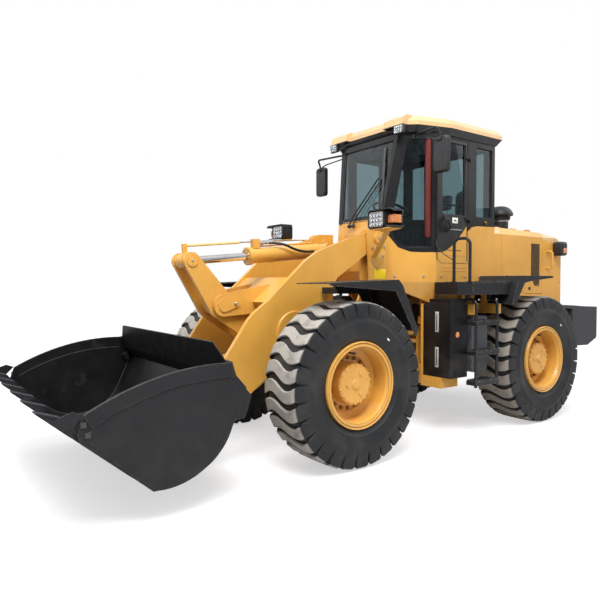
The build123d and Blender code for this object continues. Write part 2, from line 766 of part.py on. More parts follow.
def head_lamps():
    """Lamp boxes on flared brackets bolted to the towers."""
    box = block(690, 885, 455, 600, LAMP_Z, LAMP_Z + 154)
    for z in (LAMP_Z, LAMP_Z + 124):
        box += block(885, 985, 470, 600, z, z + 30)
    box += block(890, 980, 500, 590, LAMP_Z + 40, LAMP_Z + 114)
    box += block(885, 980, 590, 600, LAMP_Z, LAMP_Z + 154)
    tray = block(600, 985, 455, 770, LAMP_Z - 8, LAMP_Z)
    flare = cross_wall(outline([
        (TOWER_OUTER, 1650), (TOWER_OUTER + 8, 1650), (TOWER_OUTER + 8, 1760), (640, 1968),
        (600, 1968), (TOWER_OUTER, 1775),
    ]), 700, 70)
    flange = slab(outline([
        (690, 1780), (880, 1780), (870, 1720), (785, 1610), (700, 1720),
    ]), TOWER_OUTER, 8)
    return both(box + tray + flare + flange)


# ---- rear frame ----


def rear_frame():
    """Two rails joined by the hitch forks, cross members and body mounts."""
    rail = outline(
        [
            (1480, 430),
            (1480, 980),
            (1540, RAIL_TOP_Z),
            (1540, BEAM_TOP_Z),
            (2010, BEAM_TOP_Z),
            (2010, RAIL_TOP_Z),
            (RAIL_REAR, RAIL_TOP_Z),
            (RAIL_REAR, 740),
            (2960, 740),
            (2900, FRONT_PAD_Z),
            (2350, FRONT_PAD_Z),
            (2150, 430),
        ]
    )
    frame = both(slab(rail, RAIL_INNER, RAIL_OUTER - RAIL_INNER))
    for lug_z in (UPPER_LUG_Z, LOWER_LUG_Z):
        frame += hitch_fork(lug_z - SIDE_GAP - FORK) + hitch_fork(lug_z + LUG + SIDE_GAP)
        bottom, top = lug_z - SIDE_GAP - FORK - 12, lug_z + LUG + SIDE_GAP + FORK + 12
        frame += post(0, HITCH_Y, bottom, top, HITCH_PIN_RADIUS)
    # cross wall carrying the steering cylinders, open for the drive shaft
    wall = block(-RAIL_INNER, RAIL_INNER, 1895, 1915, 560, 1000)
    frame += wall - bar((0, 1880, AXLE_Z), (0, 1930, AXLE_Z), 75)
    frame += both(steer_lugs(STEER_BASE, 1900))
    frame += both(post(*STEER_BASE, 2 * STEER_Z - STEER_LUG_TOP - 24, STEER_LUG_TOP + 24, STEER_PIN))
    frame += block(-RAIL_INNER, RAIL_INNER, 3450, 3510, 860, 940)
    # outriggers under the cab and the decks
    for y in BEAM_STATIONS:
        frame += both(block(RAIL_OUTER, 1000, y, y + 60, BEAM_TOP_Z - 100, BEAM_TOP_Z))
        frame += both(block(800, 860, y, y + 35, BEAM_TOP_Z, DECK_BOTTOM_Z))
        frame += both(block(290, 420, y, y + 60, BEAM_TOP_Z - 20, BEAM_TOP_Z))
        frame += both(post(325, y + 30, BEAM_TOP_Z, CAB_FLOOR_Z - CAB_FLOOR, 28))
    for y in (2440, 3180):
        frame += both(block(RAIL_OUTER, HOOD_HALF - 5, y, y + 60, RAIL_TOP_Z - 60, RAIL_TOP_Z))
        frame += both(block(HOOD_HALF - 55, HOOD_HALF - 5, y, y + 60, RAIL_TOP_Z, HOOD_BOTTOM_Z))
    return frame


def hitch_fork(z):
    """One plate of the rear frame's fork round the hitch pin."""
    neck = Polyline((-RAIL_INNER, 1500), (RAIL_INNER, 1500)).edges()
    plate = make_hull(neck + (Pos(0, HITCH_Y) * Circle(100)).edges())
    plate += Pos(0, 1580) * Rectangle(2 * RAIL_INNER, 180)
    return deck_plate(plate, z, FORK)


def powertrain():
    """Engine and transmission as plain blocks on their mounts, with the drive shaft."""
    engine = block(-270, 270, 2450, 3300, 880, 1700)
    for y in (2600, 3100):
        engine += both(block(270, RAIL_INNER, y, y + 80, 900, 960))
    gears = block(-240, 240, 2030, 2450, 820, 1240) + block(-200, 200, 2030, 2200, 520, 820)
    shaft = bar((0, HITCH_Y, AXLE_Z), (0, 2030, AXLE_Z), 30)
    shaft += Pos(0, HITCH_Y, AXLE_Z) * Sphere(38)
    shaft += bar((0, 2200, AXLE_Z), (0, REAR_YOKE_Y, AXLE_Z), 34)
    return engine + gears + shaft


def counterweight():
    """Cast tail weight with chamfered foot and a tow slot."""
    side = [(3573, 1188), (3573, 735), (3930, 725), (4130, 800), (REAR_END, 850), (REAR_END, 1188)]
    body = slab(outline(side), -TAIL_HALF, 2 * TAIL_HALF)
    plate = [
        (3307, 1202), (3307, 1232), (3573, 1222), (4000, TAIL_BACK_Z), (REAR_END, TAIL_BACK_Z),
        (REAR_END, 1180), (3573, 1180),
    ]
    body += slab(outline(plate), -TAIL_HALF, 2 * TAIL_HALF)
    edges = body.edges().filter_by(Axis.Z).sort_by(Axis.Y)[-2:]
    body = fillet(edges, 45)
    body -= block(-TOW_SLOT, TOW_SLOT, 4040, REAR_END + 1, *TOW_SLOT_Z)
    return body - post(0, TOW_Y, TOW_FOOT_Z, TAIL_TOP_Z, TOW_RADIUS)


# ---- hood ----
def hood_profile(inset, bottom):
    """The hood's side outline shrunk by the inset, open or closed below."""
    top = HOOD_TOP_Z - inset
    return outline(
        [
            (HOOD_FRONT + inset, bottom),
            (HOOD_FRONT + inset, top),
            (2510, top),
            (3300, top - 20),
            (3610, top - 60),
            (3690 - inset, top - 110),
            (HOOD_REAR - inset, top - 210),
            (HOOD_REAR - inset, bottom),
        ]
    )


def hood_solid(inset, bottom):
    """The hood filled solid, with a sloping shoulder along each side."""
    half, top = HOOD_HALF - inset, HOOD_TOP_Z - inset
    body = slab(hood_profile(inset, bottom), -half, 2 * half)
    cut = []
    for side in (1, -1):
        wedge = outline([
            (side * half, top - 75), (side * (half - 42), top + 12),
            (side * (half + 100), top + 60), (side * (half + 100), top - 75),
        ])
        cut.append(cross_wall(wedge, HOOD_FRONT - 10, HOOD_REAR - HOOD_FRONT + 20))
    return body - cut[0] - cut[1]


def door_zone(gap):
    """The volume of the left hood door, grown by the gap."""
    face = outline(
        [
            (DOOR_FRONT - gap, HOOD_TOP_Z + 60),
            (DOOR_FRONT - gap, 1545 - gap),
            (2986, 1365 - gap),
            (DOOR_REAR + gap, 1365 - gap),
            (DOOR_REAR + gap, HOOD_TOP_Z + 60),
        ]
    )
    return slab(face, DOOR_HINGE_X + 10 - gap, 400)


def hood_skin():
    """The hood's sheet, walls and top, open below."""
    skin = hood_solid(0, HOOD_BOTTOM_Z) - hood_solid(HOOD_SHEET, HOOD_BOTTOM_Z - 10)
    return skin - block(-800, 800, 3300, 3800, HOOD_BOTTOM_Z - 20, TAIL_TOP_Z)


def hood():
    """Fixed sheet of the hood with hinge knuckles and the rear opening."""
    body = hood_skin() - both(door_zone(5))
    body -= block(-480, 480, HOOD_REAR - 60, HOOD_REAR + 10, 1330, 1850)
    front = (HOOD_FRONT - 5, HOOD_FRONT + 20)
    body -= both(block(280, 420, *front, 1300, 1900)) + block(-280, 280, *front, 1180, 1900)
    fixed = Part() + [hood_knuckle(y, True) for y in HOOD_HINGES]
    return body + both(fixed)


def hood_knuckle(y, fixed):
    """Half of a hood hinge: the pin side or the sleeve side."""
    z = hood_top_at(y)
    x, axis_z = DOOR_HINGE_X, DOOR_HINGE_Z
    if fixed:
        body = bar((x, y - 30, axis_z), (x, y - 1, axis_z), 9)
        body += bar((x, y - 30, axis_z), (x, y + 30, axis_z), 4.5)
        return body + block(x - 28, x, y - 30, y - 1, z - 5, axis_z)
    body = bar((x, y, axis_z), (x, y + 29, axis_z), 9) + block(x, x + 34, y, y + 29, z + 4, axis_z)
    body += block(x + 14, x + 34, y, y + 29, z - 6, z + 6)
    return body - bar((x, y - 5, axis_z), (x, y + 31, axis_z), 4.5 + FIT)


def hood_top_at(y):
    """Height of the hood's top sheet at a station between the door seams."""
    return HOOD_TOP_Z - 20 * max(0.0, (y - 2510) / 790)


def hood_door(side):
    """Gull-wing side door with its sleeves and a stiffened edge."""
    door = hood_skin() & door_zone(0)
    door += Part() + [hood_knuckle(y, False) for y in HOOD_HINGES]
    return door if side > 0 else mirror(door, about=Plane.YZ)


def rear_grille():
    """Framed rear grille with level slats."""
    y = HOOD_REAR - 30
    frame = block(-480, 480, y, y + 24, 1330, 1850) - block(-440, 440, y - 1, y + 25, 1370, 1810)
    for i in range(11):
        z = 1400 + i * 37
        slat = outline([(y + 2, z), (y + 4, z + 4), (y + 22, z - 12), (y + 20, z - 16)])
        frame += slab(slat, -441, 882)
    return frame + block(-12, 12, y + 1, y + 23, 1369, 1811)


def stacks():
    """Air pre-cleaner and exhaust pipe standing on the hood."""
    z = HOOD_TOP_Z - 40
    side = [(0, z), (98, z), (98, 2250), (112, 2262), (112, 2300), (150, 2310), (155, 2325)]
    section = Polyline(*side) + ThreePointArc((155, 2325), (118, 2392), (20, 2425))
    section += Polyline((20, 2425), (0, 2425), (0, z))
    clean = Pos(250, 3050, 0) * revolve(Plane.XZ * make_face(section), Axis.Z, 360)
    pipe = post(-250, 2900, z, 2480, 48)
    pipe += tube([(-250, 2900, 2470), (-250, 2900, 2600), (-250, 3010, 2650)], 60, 45)
    under = hood_solid(0, HOOD_BOTTOM_Z)
    return [clean - under, pipe - under]


# ---- cab ----
def cab_plan(inset):
    """The cab's outline seen from above, shrunk by the inset."""
    face = outline(
        [
            (-316, 940.5),
            (316, 940.5),
            (CAB_HALF, CAB_DOOR_FRONT),
            (CAB_HALF, CAB_REAR),
            (-CAB_HALF, CAB_REAR),
            (-CAB_HALF, CAB_DOOR_FRONT),
        ]
    )
    return offset(face, -inset, kind=Kind.INTERSECTION) if inset else face


def cab_side(inset):
    """The cab's raked front and its rear as a side outline, shrunk by the inset."""
    low, high = BASE_BOTTOM_Z - 40, CAB_EAVES_Z + 40
    return outline(
        [
            (940.5 + inset, low),
            (940.5 + inset, 1911),
            (967 + inset, COWL_TOP_Z),
            (1100 + inset + 0.155 * (high - CAB_EAVES_Z), high),
            (CAB_REAR - inset, high),
            (CAB_REAR - inset, low),
        ]
    )


def cab_solid(inset, bottom, top):
    """The cab filled solid between two heights."""
    plan = deck_plate(cab_plan(inset), bottom, top - bottom)
    return plan & slab(cab_side(inset), -CAB_HALF, 2 * CAB_HALF)


def cab_layer(outer, inner):
    """The layer of the cab's walls between two depths."""
    low, high = BASE_BOTTOM_Z - 10, CAB_EAVES_Z + 10
    return cab_solid(outer, low, high) - cab_solid(inner, low - 5, high + 5)


def base_zone():
    """What lies below the line where the yellow base meets the dark frame."""
    line = [
        (900, COWL_TOP_Z),
        (990, COWL_TOP_Z),
        (1000, 2000),
        (1100, 1850),
        (1200, 1805),
        (1290, 1800),
        (1400, 1800),
        (CAB_DOOR_REAR + 5, 1800),
        (CAB_DOOR_REAR + 5, 2030),
        (1970, 2080),
        (2050, 2095),
        (2400, 2105),
        (2400, 1200),
        (900, 1200),
    ]
    return slab(outline(line), -700, 1400)


def door_opening(grow):
    """The left door's outline grown by a gap."""
    return outline(
        [
            (CAB_DOOR_FRONT - grow, DOOR_TOP_Z + grow),
            (CAB_DOOR_FRONT - grow, 1780 - grow * 0.6),
            (1471 - grow * 0.5, DOOR_BOTTOM_Z - grow),
            (CAB_DOOR_REAR + grow, DOOR_BOTTOM_Z - grow),
            (CAB_DOOR_REAR + grow, DOOR_TOP_Z + grow),
        ]
    )


def base_lip(inset):
    """The tapered lower edge of the cab filled solid, shrunk by the inset."""
    top = Plane.XY.offset(BASE_FOLD_Z) * cab_plan(inset)
    return loft([Plane.XY.offset(BASE_BOTTOM_Z) * cab_plan(inset + BASE_TAPER), top])


def cab_base():
    """Lower tub of the cab with its floor, cowl and tapered, sloping foot."""
    low = block(-800, 800, 800, 2500, 1000, BASE_FOLD_Z)
    walls = (cab_layer(0, BASE_WALL) & base_zone()) - low
    foot = [
        (900, BASE_FRONT_Z),
        (1100, BASE_FRONT_Z),
        (CAB_DOOR_FRONT, BASE_BOTTOM_Z),
        (2400, BASE_BOTTOM_Z),
        (2400, 1200),
        (900, 1200),
    ]
    walls += base_lip(0) - base_lip(BASE_WALL) - slab(outline(foot), -700, 1400)
    floor = cab_solid(1.5 * BASE_WALL, CAB_FLOOR_Z - CAB_FLOOR, CAB_FLOOR_Z)
    body = walls + floor
    body += cab_solid(BASE_WALL - 1, COWL_TOP_Z - 10, COWL_TOP_Z) & block(-700, 700, 900, 988, 2000, 2200)
    body -= slab(door_opening(5), CAB_HALF - BASE_WALL - 5, 60)
    return body


def windows():
    """Window openings as (name, solid) pairs that cut one wall each."""
    screen = outline([(-290, COWL_TOP_Z + 50), (290, COWL_TOP_Z + 50), (375, 2925), (-375, 2925)])
    corner = outline([(1040, 2040), (1100, 1890), (1190, 1850), (1370, 1850), (1370, 2930), (1175, 2930)])
    side = outline([(2040, 2190), (2310, 2190), (2310, 2930), (2040, 2930)], 25)
    fixed = outline([(1450, 1850), (1880, 1850), (1880, 2930), (1450, 2930)], 25)
    back = outline([(-540, 2200), (540, 2200), (540, 2930), (-540, 2930)], 25)
    cuts = [cross_wall(screen, 900, 260), cross_wall(back, CAB_REAR - 60, 100)]
    for direction in (1, -1):
        for face, start in ((corner, 300), (side, 560)):
            x = start if direction > 0 else -start - 400
            cuts.append(slab(face, x, 400))
    cuts.append(slab(fixed, -CAB_HALF - 100, 200))
    return cuts


def cab_frame():
    """Dark pillars, rails and roof ring with every window cut out."""
    body = cab_layer(0, CAB_WALL) - base_zone()
    body = body & block(-700, 700, 900, 2400, 1700, CAB_EAVES_Z)
    ring = cab_solid(CAB_WALL - 1, CAB_EAVES_Z - 12, CAB_EAVES_Z)
    body += ring
    for cut in windows():
        body -= cut
    body -= slab(door_opening(5), CAB_HALF - CAB_WALL - 5, 60)
    for z in CAB_HINGE_HEIGHTS:
        body += cab_hinge(z, True)
    return body


def cab_glass():
    """Flat panes let into every opening but the door's."""
    layer = cab_layer(16, 22)
    return [layer & cut for cut in windows()]


def cab_hinge(z, fixed):
    """Half of a cab-door hinge: the pin side or the sleeve side."""
    x, y = CAB_HINGE
    if fixed:
        body = post(x, y, z - 25, z - 1, 11) + post(x, y, z - 25, z + 25, 5)
        return body + block(CAB_HALF - 2, x, y, y + 40, z - 25, z - 1)
    body = post(x, y, z, z + 24, 11) + block(CAB_HALF + 5, x, y - 20, y, z, z + 24)
    body += block(CAB_HALF - 2, x, y - 50, y - 20, z, z + 24)
    return body - post(x, y, z - 5, z + 26, 5 + FIT)


def cab_door():
    """Left door: a lower panel and a frame round its window."""
    body = slab(door_opening(0), CAB_HALF - CAB_WALL, CAB_WALL)
    body -= slab(outline(door_window(), 20), CAB_HALF - 100, 200)
    pocket = [
        (CAB_DOOR_FRONT + 40, 2060), (CAB_DOOR_FRONT + 40, 1790), (1500, DOOR_BOTTOM_Z + 40),
        (CAB_DOOR_REAR - 40, DOOR_BOTTOM_Z + 40), (CAB_DOOR_REAR - 40, 2060),
    ]
    body -= slab(outline(pocket), CAB_HALF - CAB_WALL - 1, CAB_WALL - 10)
    for z in CAB_HINGE_HEIGHTS:
        body += cab_hinge(z, False)
    handle = [
        (CAB_HALF - 2, 1500, 2135), (CAB_HALF + 45, 1500, 2135), (CAB_HALF + 45, 1530, 2020),
        (CAB_HALF - 2, 1530, 2020),
    ]
    return body + tube(handle, 15, 9)


def door_window():
    """Corners of the door's window."""
    return [(1500, 2190), (1860, 2190), (1860, 2925), (1500, 2925)]


def cab_door_glass():
    """The door's pane."""
    return slab(outline(door_window(), 20), CAB_HALF - 22, 6)


def cab_roof():
    """Roof cap with two raised lamp hoods over the windscreen."""
    right = [(541, 1094), (620, 1190), (720, 1560), (720, 2400), (640, 2450)]
    plan = outline([(-x, y) for x, y in reversed(right)] + right)
    inset = {CAB_EAVES_Z: -50, ROOF_EDGE_Z: 0, ROOF_EDGE_Z + 40: 0, ROOF_TOP_Z: -45}
    sections = [
        Plane.XY.offset(z) * (offset(plan, grow, kind=Kind.INTERSECTION) if grow else plan)
        for z, grow in inset.items()
    ]
    body = loft(sections, ruled=True)
    horn = outline([
        (1030, HORN_BOTTOM_Z), (1045, 3110), (1100, 3145), (1400, ROOF_TOP_Z),
        (1400, HORN_BOTTOM_Z),
    ])
    body += both(slab(horn, 290, 260))
    return body


def lamps():
    """Roof lamps under the hoods and a lamp block on each side of the tail."""
    roof = bar((501, 1040, 2992), (501, 1086, 2992), 38) + block(485, 517, 1048, 1080, 3000, HORN_BOTTOM_Z)
    tail = block(HOOD_HALF, HOOD_HALF + 130, 3535, 3670, 1820, 1990)
    return both(roof) + both(tail)


def seat():
    """Operator's seat: pedestal, pan, back and head rest."""
    body = block(-170, 170, 1780, 2120, CAB_FLOOR_Z, 1560)
    body += block(-225, 225, 1730, 2160, 1640, 1720) + block(-120, 120, 1830, 2080, 1560, 1640)
    back = slab(outline([(2095, 1700), (2190, 1700), (2290, 2330), (2215, 2350)]), -220, 440)
    head = slab(outline([(2222, 2325), (2288, 2325), (2315, 2520), (2255, 2530)]), -130, 260)
    cushion = block(-230, 230, 1720, 2110, 1720, 1800)
    return body + back + cushion + head


def cab_fittings():
    """Dash, steering column and wheel, lever console and pedals."""
    dash = slab(outline([
        (1000, CAB_FLOOR_Z), (1130, CAB_FLOOR_Z), (1150, 1900), (1110, 2050), (1010, 2080),
        (1010, 1900),
    ]), -250, 500)
    column = bar((0, 1219, CAB_FLOOR_Z - 50), (0, 1418, 2276), 40)
    column -= block(-60, 60, 1100, 1400, CAB_FLOOR_Z - 100, CAB_FLOOR_Z)
    wheel_plane = Plane(origin=(0, 1425, 2290), z_dir=(0, 0.35, 0.94))
    wheel = wheel_plane * (Torus(190, 14) + Cylinder(45, 40) + Box(370, 26, 14))
    console = block(330, 520, 1650, 2150, CAB_FLOOR_Z, 1850)
    console += bar((400, 1700, 1840), (400, 1690, 1990), 12) + bar((460, 1700, 1840), (460, 1690, 1990), 12)
    return [dash, column + wheel, mirror(console, about=Plane.YZ)]


def mirrors():
    """A mirror on each side, hung from the roof ring."""
    head = block(850, 1010, 1165, 1195, 2510, 2830)
    foot, away = Vector(532, 1235, 2955), Vector(0.807, -0.591, 0)
    arm = bar(foot + away * SEAT, foot + away * 12, 26)
    bend = [(930, 1130, 2955), (930, 1180, 2920), (930, 1180, 2820)]
    arm += tube([foot + away * 8, foot + away * 60, *bend], 20, 11)
    return both(head + arm)


def decks():
    """A walkway on each side with its handrail, and grab bars on the hood."""
    inner = CAB_HALF + 5
    plan = outline([(inner, 1380), (955, 1380), (1075, 1450), (1080, 2100), (inner, 2100)])
    deck = deck_plate(plan, DECK_BOTTOM_Z, DECK_TOP_Z - DECK_BOTTOM_Z)
    lower = outline([(inner + 20, 1400), (945, 1400), (1060, 1465), (1060, 2010), (inner + 20, 2010)])
    deck -= deck_plate(lower, DECK_BOTTOM_Z - 1, DECK_TOP_Z - DECK_SHEET - DECK_BOTTOM_Z + 1)
    behind = outline([guard_point(1200, -3), guard_point(1600, -3), (2200, 1600), (2200, 1200)])
    deck -= slab(behind, 600, 600)
    rail = tube([
        (885, 1405, DECK_TOP_Z - 5), (885, 1405, 1920), (1035, 1452, 1920),
        (1035, 1452, DECK_TOP_Z - 5),
    ], 60, 15)
    for y in BEAM_STATIONS:
        deck += block(800, 860, y, y + 35, DECK_BOTTOM_Z, DECK_TOP_Z - 5)
    x, y = HOOD_HALF, 3430
    grab = tube([(x, y, 1870), (x + 70, y, 1870), (x + 70, y, 1670), (x, y, 1670)], 30, 10)
    return both(deck + rail) + both(grab)


def rear_fenders():
    """Folded shelves over the rear wheels, each with a sloping plate in front of the wheel."""
    top, foot = FENDER_TOP_Z, BEAM_TOP_Z
    fold = [guard_point(foot, 0), guard_point(top, 0), (2720, top), (2720, top - 12)]
    fold += [guard_point(top - 12, 13), guard_point(foot, 13)]
    body = slab(outline(fold), CAB_HALF + 5, FENDER_OUTER - CAB_HALF - 5)
    skirt = [guard_point(foot, 0), guard_point(top, 0), (2720, top), (2720, top - 20)]
    skirt += [(2310, top - 55), (2200, top - 75), guard_point(foot, 60)]
    # the hood door swings down past the shelf's inner corner
    notch = outline([(600, 2490), (735, 2490), (915, 2730), (600, 2730)])
    body -= deck_plate(notch, top - 20, 40)
    return both(body + slab(outline(skirt), FENDER_OUTER - 8, 8))


def guard_point(z, back):
    """A point on the sloping plate in front of a rear wheel."""
    return (GUARD_FOOT_Y + 0.43 * (z - BEAM_TOP_Z) + back, z)


def ladders():
    """A three-step ladder hung from each deck."""
    stile = tube([(960, 1520, 1330), (1060, 1520, 1330), (1060, 1520, 480)], 60, 15)
    stile += tube([(960, 1850, 1330), (1060, 1850, 1330), (1060, 1850, 480)], 60, 15)
    for z in (1100, 810, 520):
        stile += block(960, 1078, 1505, 1865, z - 22, z + 22)
    for y in (1520, 1850):
        stile += block(945, 975, y - 15, y + 15, 1315, DECK_TOP_Z - DECK_SHEET)
    return both(stile)


def side_boxes():
    """Battery box and tank on each side with their brackets to the frame."""
    battery = block(590, 935, 1300, 1550, 570, 1283) + block(672, 935, 1300, 1550, 570, 1335)
    battery += block(560, 590, 1300, 1550, 460, 1283) + block(560, 820, 1300, 1550, 460, 570)
    tank = fillet(block(400, 925, 1630, 1880, 600, 1160).edges().filter_by(Axis.X), 40)
    arm = block(RAIL_OUTER, 560, 1480, 1545, 560, 640) + block(RAIL_OUTER, 560, 1480, 1545, 1060, 1140)
    strap = block(RAIL_OUTER, 402, 1640, 1870, 700, 1100)
    return both(battery + arm) + both(tank + strap)


# ---- wheels in place ----
def at_wheel(shape, y, side):
    """A wheel piece moved from the origin to its axle end."""
    placed = Pos(TRACK / 2, y, AXLE_Z) * shape
    return placed if side > 0 else mirror(placed, about=Plane.YZ)


def front_axle():
    """Front drive axle with its shaft reaching back to the hitch."""
    body = Pos(0, 0, AXLE_Z) * axle(1)
    body += bar((0, 350, AXLE_Z), (0, HITCH_Y - 50, AXLE_Z), 32)
    for z in (AXLE_Z + 42, AXLE_Z - 57):
        body += block(-16, 16, HITCH_Y - 62, HITCH_Y + 16, z, z + 15)
    return body + block(-16, 16, HITCH_Y - 62, HITCH_Y - 44, AXLE_Z - 57, AXLE_Z + 57)


def rear_axle():
    """Rear drive axle with its yoke towards the transmission."""
    return Pos(0, REAR_AXLE_Y, AXLE_Z) * axle(-1)


def build():
    """Every node's name and its shape or list of shapes."""
    tyre_shape, rim_shape = tyre(), rim()
    nodes = {
        "front_frame": front_frame(),
        "front_pins": front_pins(),
        "front_axle": front_axle(),
        "front_fenders": front_fenders(),
        "head_lamps": head_lamps(),
        "boom": boom(),
        "crank_pin": crank_pin(),
        "bellcrank": bellcrank(),
        "bucket_link": bucket_link(),
        "bucket": bucket(),
        "bucket_edge": bucket_edge(),
        "bucket_pins": bucket_pins(),
        "lift_barrels": lift_barrels(),
        "lift_rods": lift_rods(),
        "tilt_barrel": tilt_barrel(),
        "tilt_rod": tilt_rod(),
        "tilt_hose": tilt_hose(),
        "rear_frame": rear_frame(),
        "rear_axle": rear_axle(),
        "powertrain": powertrain(),
        "counterweight": counterweight(),
        "hood": hood(),
        "hood_door_left": hood_door(1),
        "hood_door_right": hood_door(-1),
        "rear_grille": rear_grille(),
        "stacks": stacks(),
        "cab_base": cab_base(),
        "cab_frame": cab_frame(),
        "cab_glass": cab_glass(),
        "cab_door": cab_door(),
        "cab_door_glass": cab_door_glass(),
        "cab_roof": cab_roof(),
        "lamps": lamps(),
        "seat": seat(),
        "cab_fittings": cab_fittings(),
        "mirrors": mirrors(),
        "decks": decks(),
        "rear_fenders": rear_fenders(),
        "ladders": ladders(),
        "side_boxes": side_boxes(),
    }
    for name, side in (("left", 1), ("right", -1)):
        nodes[f"steer_barrel_{name}"] = steer_barrel(side)
        nodes[f"steer_rod_{name}"] = steer_rod(side)
        for end, y in (("front", 0.0), ("rear", REAR_AXLE_Y)):
            nodes[f"{end}_{name}_tyre"] = at_wheel(tyre_shape, y, side)
            nodes[f"{end}_{name}_rim"] = at_wheel(rim_shape, y, side)
    return nodes


def solids_of(shape):
    """The shape's solids as a flat list."""
    if isinstance(shape, (list, tuple)):
        return [solid for item in shape for solid in solids_of(item)]
    return list(shape.solids())


def middle_y(nodes):
    """Half-way along the machine."""
    boxes = [solid.bounding_box() for shape in nodes.values() for solid in solids_of(shape)]
    return (min(box.min.Y for box in boxes) + max(box.max.Y for box in boxes)) / 2


if __name__ == "__main__":
    os.makedirs("parts", exist_ok=True)
    pieces = build()
    shift = -middle_y(pieces)
    for name, shape in pieces.items():
        solids = [Pos(0, shift, 0) * solid for solid in solids_of(shape)]
        piece = solids[0] if len(solids) == 1 else Compound(children=solids)
        export_step(piece, f"parts/{name}.step")
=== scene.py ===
"""Looks of an articulated wheel loader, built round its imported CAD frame.

Metres. The bucket points to -Y, the machine's left side is +X and up is +Z.
Stations along Y are given from the front axle and moved to the frame by Datum.
"""

import json
import logging
import math
import random
from contextlib import contextmanager
from dataclasses import dataclass, field
from enum import Enum
from typing import Callable, Iterator, Sequence

import bmesh
import bpy
from mathutils import Matrix, Vector

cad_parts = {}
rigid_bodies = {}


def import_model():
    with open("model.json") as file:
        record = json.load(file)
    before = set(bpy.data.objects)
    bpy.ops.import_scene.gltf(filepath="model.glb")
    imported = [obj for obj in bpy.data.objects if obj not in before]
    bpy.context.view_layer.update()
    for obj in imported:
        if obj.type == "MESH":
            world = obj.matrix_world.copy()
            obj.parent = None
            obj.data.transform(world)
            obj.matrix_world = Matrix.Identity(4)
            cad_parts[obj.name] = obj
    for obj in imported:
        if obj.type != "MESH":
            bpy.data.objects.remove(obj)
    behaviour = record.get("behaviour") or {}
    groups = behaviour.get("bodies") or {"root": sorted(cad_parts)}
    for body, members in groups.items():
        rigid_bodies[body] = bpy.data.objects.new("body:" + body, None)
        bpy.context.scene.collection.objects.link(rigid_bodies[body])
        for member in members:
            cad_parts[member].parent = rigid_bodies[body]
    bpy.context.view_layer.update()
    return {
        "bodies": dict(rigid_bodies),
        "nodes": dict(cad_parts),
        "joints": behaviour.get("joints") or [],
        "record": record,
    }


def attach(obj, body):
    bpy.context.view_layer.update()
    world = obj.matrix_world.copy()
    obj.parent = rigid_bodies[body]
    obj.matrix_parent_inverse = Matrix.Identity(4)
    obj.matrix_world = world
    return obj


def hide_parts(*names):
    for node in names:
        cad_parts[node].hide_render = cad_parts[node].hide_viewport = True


LOG = logging.getLogger("loader")
SEED = 11
SIDES = (-1, 1)
Colour = tuple[float, float, float]
Point = Sequence[float]
Node, Socket, Tree = bpy.types.Node, bpy.types.NodeSocket, bpy.types.NodeTree
Material, Object, Mesh = bpy.types.Material, bpy.types.Object, bmesh.types.BMesh


# ---- node trees ----


class Graph:
    """A node tree being wired, of a material or of a group."""

    def __init__(self, tree: Tree) -> None:
        """Keeps the tree that the nodes go into."""
        self.tree = tree

    def add(self, kind: str, inputs: dict | None = None, **settings: object) -> Node:
        """Adds a node."""
        node = self.tree.nodes.new(kind)
        for key, value in settings.items():
            setattr(node, key, value)
        self.feed(node, inputs or {})
        return node

    def feed(self, node: Node, inputs: dict) -> None:
        """Sets or links a node's inputs."""
        for key, value in inputs.items():
            if isinstance(value, Socket):
                self.tree.links.new(value, node.inputs[key])
            else:
                node.inputs[key].default_value = value

    def math(self, operation: str, a: object, b: object = 0.0, c: object = 0.0) -> Socket:
        """Returns the clamped result of a Math node."""
        return self.add("ShaderNodeMath", {0: a, 1: b, 2: c}, operation=operation, use_clamp=True).outputs[0]

    def times(self, a: object, b: object) -> Socket:
        """Returns the clamped product of two values."""
        return self.math("MULTIPLY", a, b)

    def patches(self, scale: float, detail: float, low: float, high: float) -> Socket:
        """Returns noise of a scale and detail, carried smoothly from low..high to 0..1."""
        return self.ramp(self.noise(scale, detail), low, high)

    def raw(self, operation: str, a: object, b: object = 0.0) -> Socket:
        """Returns the unclamped result of a Math node."""
        return self.add("ShaderNodeMath", {0: a, 1: b}, operation=operation).outputs[0]

    def mix(self, mask: object, a: object, b: object) -> Socket:
        """Returns colour a turning into colour b where the mask is 1."""
        a, b = (c if isinstance(c, Socket) else (*c, 1.0) for c in (a, b))
        return self.add("ShaderNodeMix", {0: mask, 6: a, 7: b}, data_type="RGBA").outputs[2]

    def ramp(self, value: object, low: float, high: float, to_low: float = 0.0, to_high: float = 1.0) -> Socket:
        """Returns the value's range low..high carried smoothly to to_low..to_high."""
        inputs = {"Value": value, "From Min": low, "From Max": high, "To Min": to_low, "To Max": to_high}
        return self.add("ShaderNodeMapRange", inputs, interpolation_type="SMOOTHSTEP").outputs[0]

    def noise(self, scale: object, detail: float = 4.0, stretch: Point = (1, 1, 1), vector: object = None) -> Socket:
        """Returns a noise value over the object's own coordinates."""
        source = vector or self.place()
        if tuple(stretch) != (1, 1, 1):
            source = self.add("ShaderNodeMapping", {"Vector": source, "Scale": stretch}).outputs[0]
        inputs = {"Vector": source, "Scale": scale, "Detail": detail, "Roughness": 0.6}
        return self.add("ShaderNodeTexNoise", inputs).outputs["Fac"]

    def place(self) -> Socket:
        """Returns the object coordinates."""
        return self.add("ShaderNodeTexCoord").outputs["Object"]

    def axis(self, name: str, vector: object = None) -> Socket:
        """Returns one coordinate of a vector, by default of the object coordinates."""
        return self.add("ShaderNodeSeparateXYZ", {0: vector or self.place()}).outputs[name]


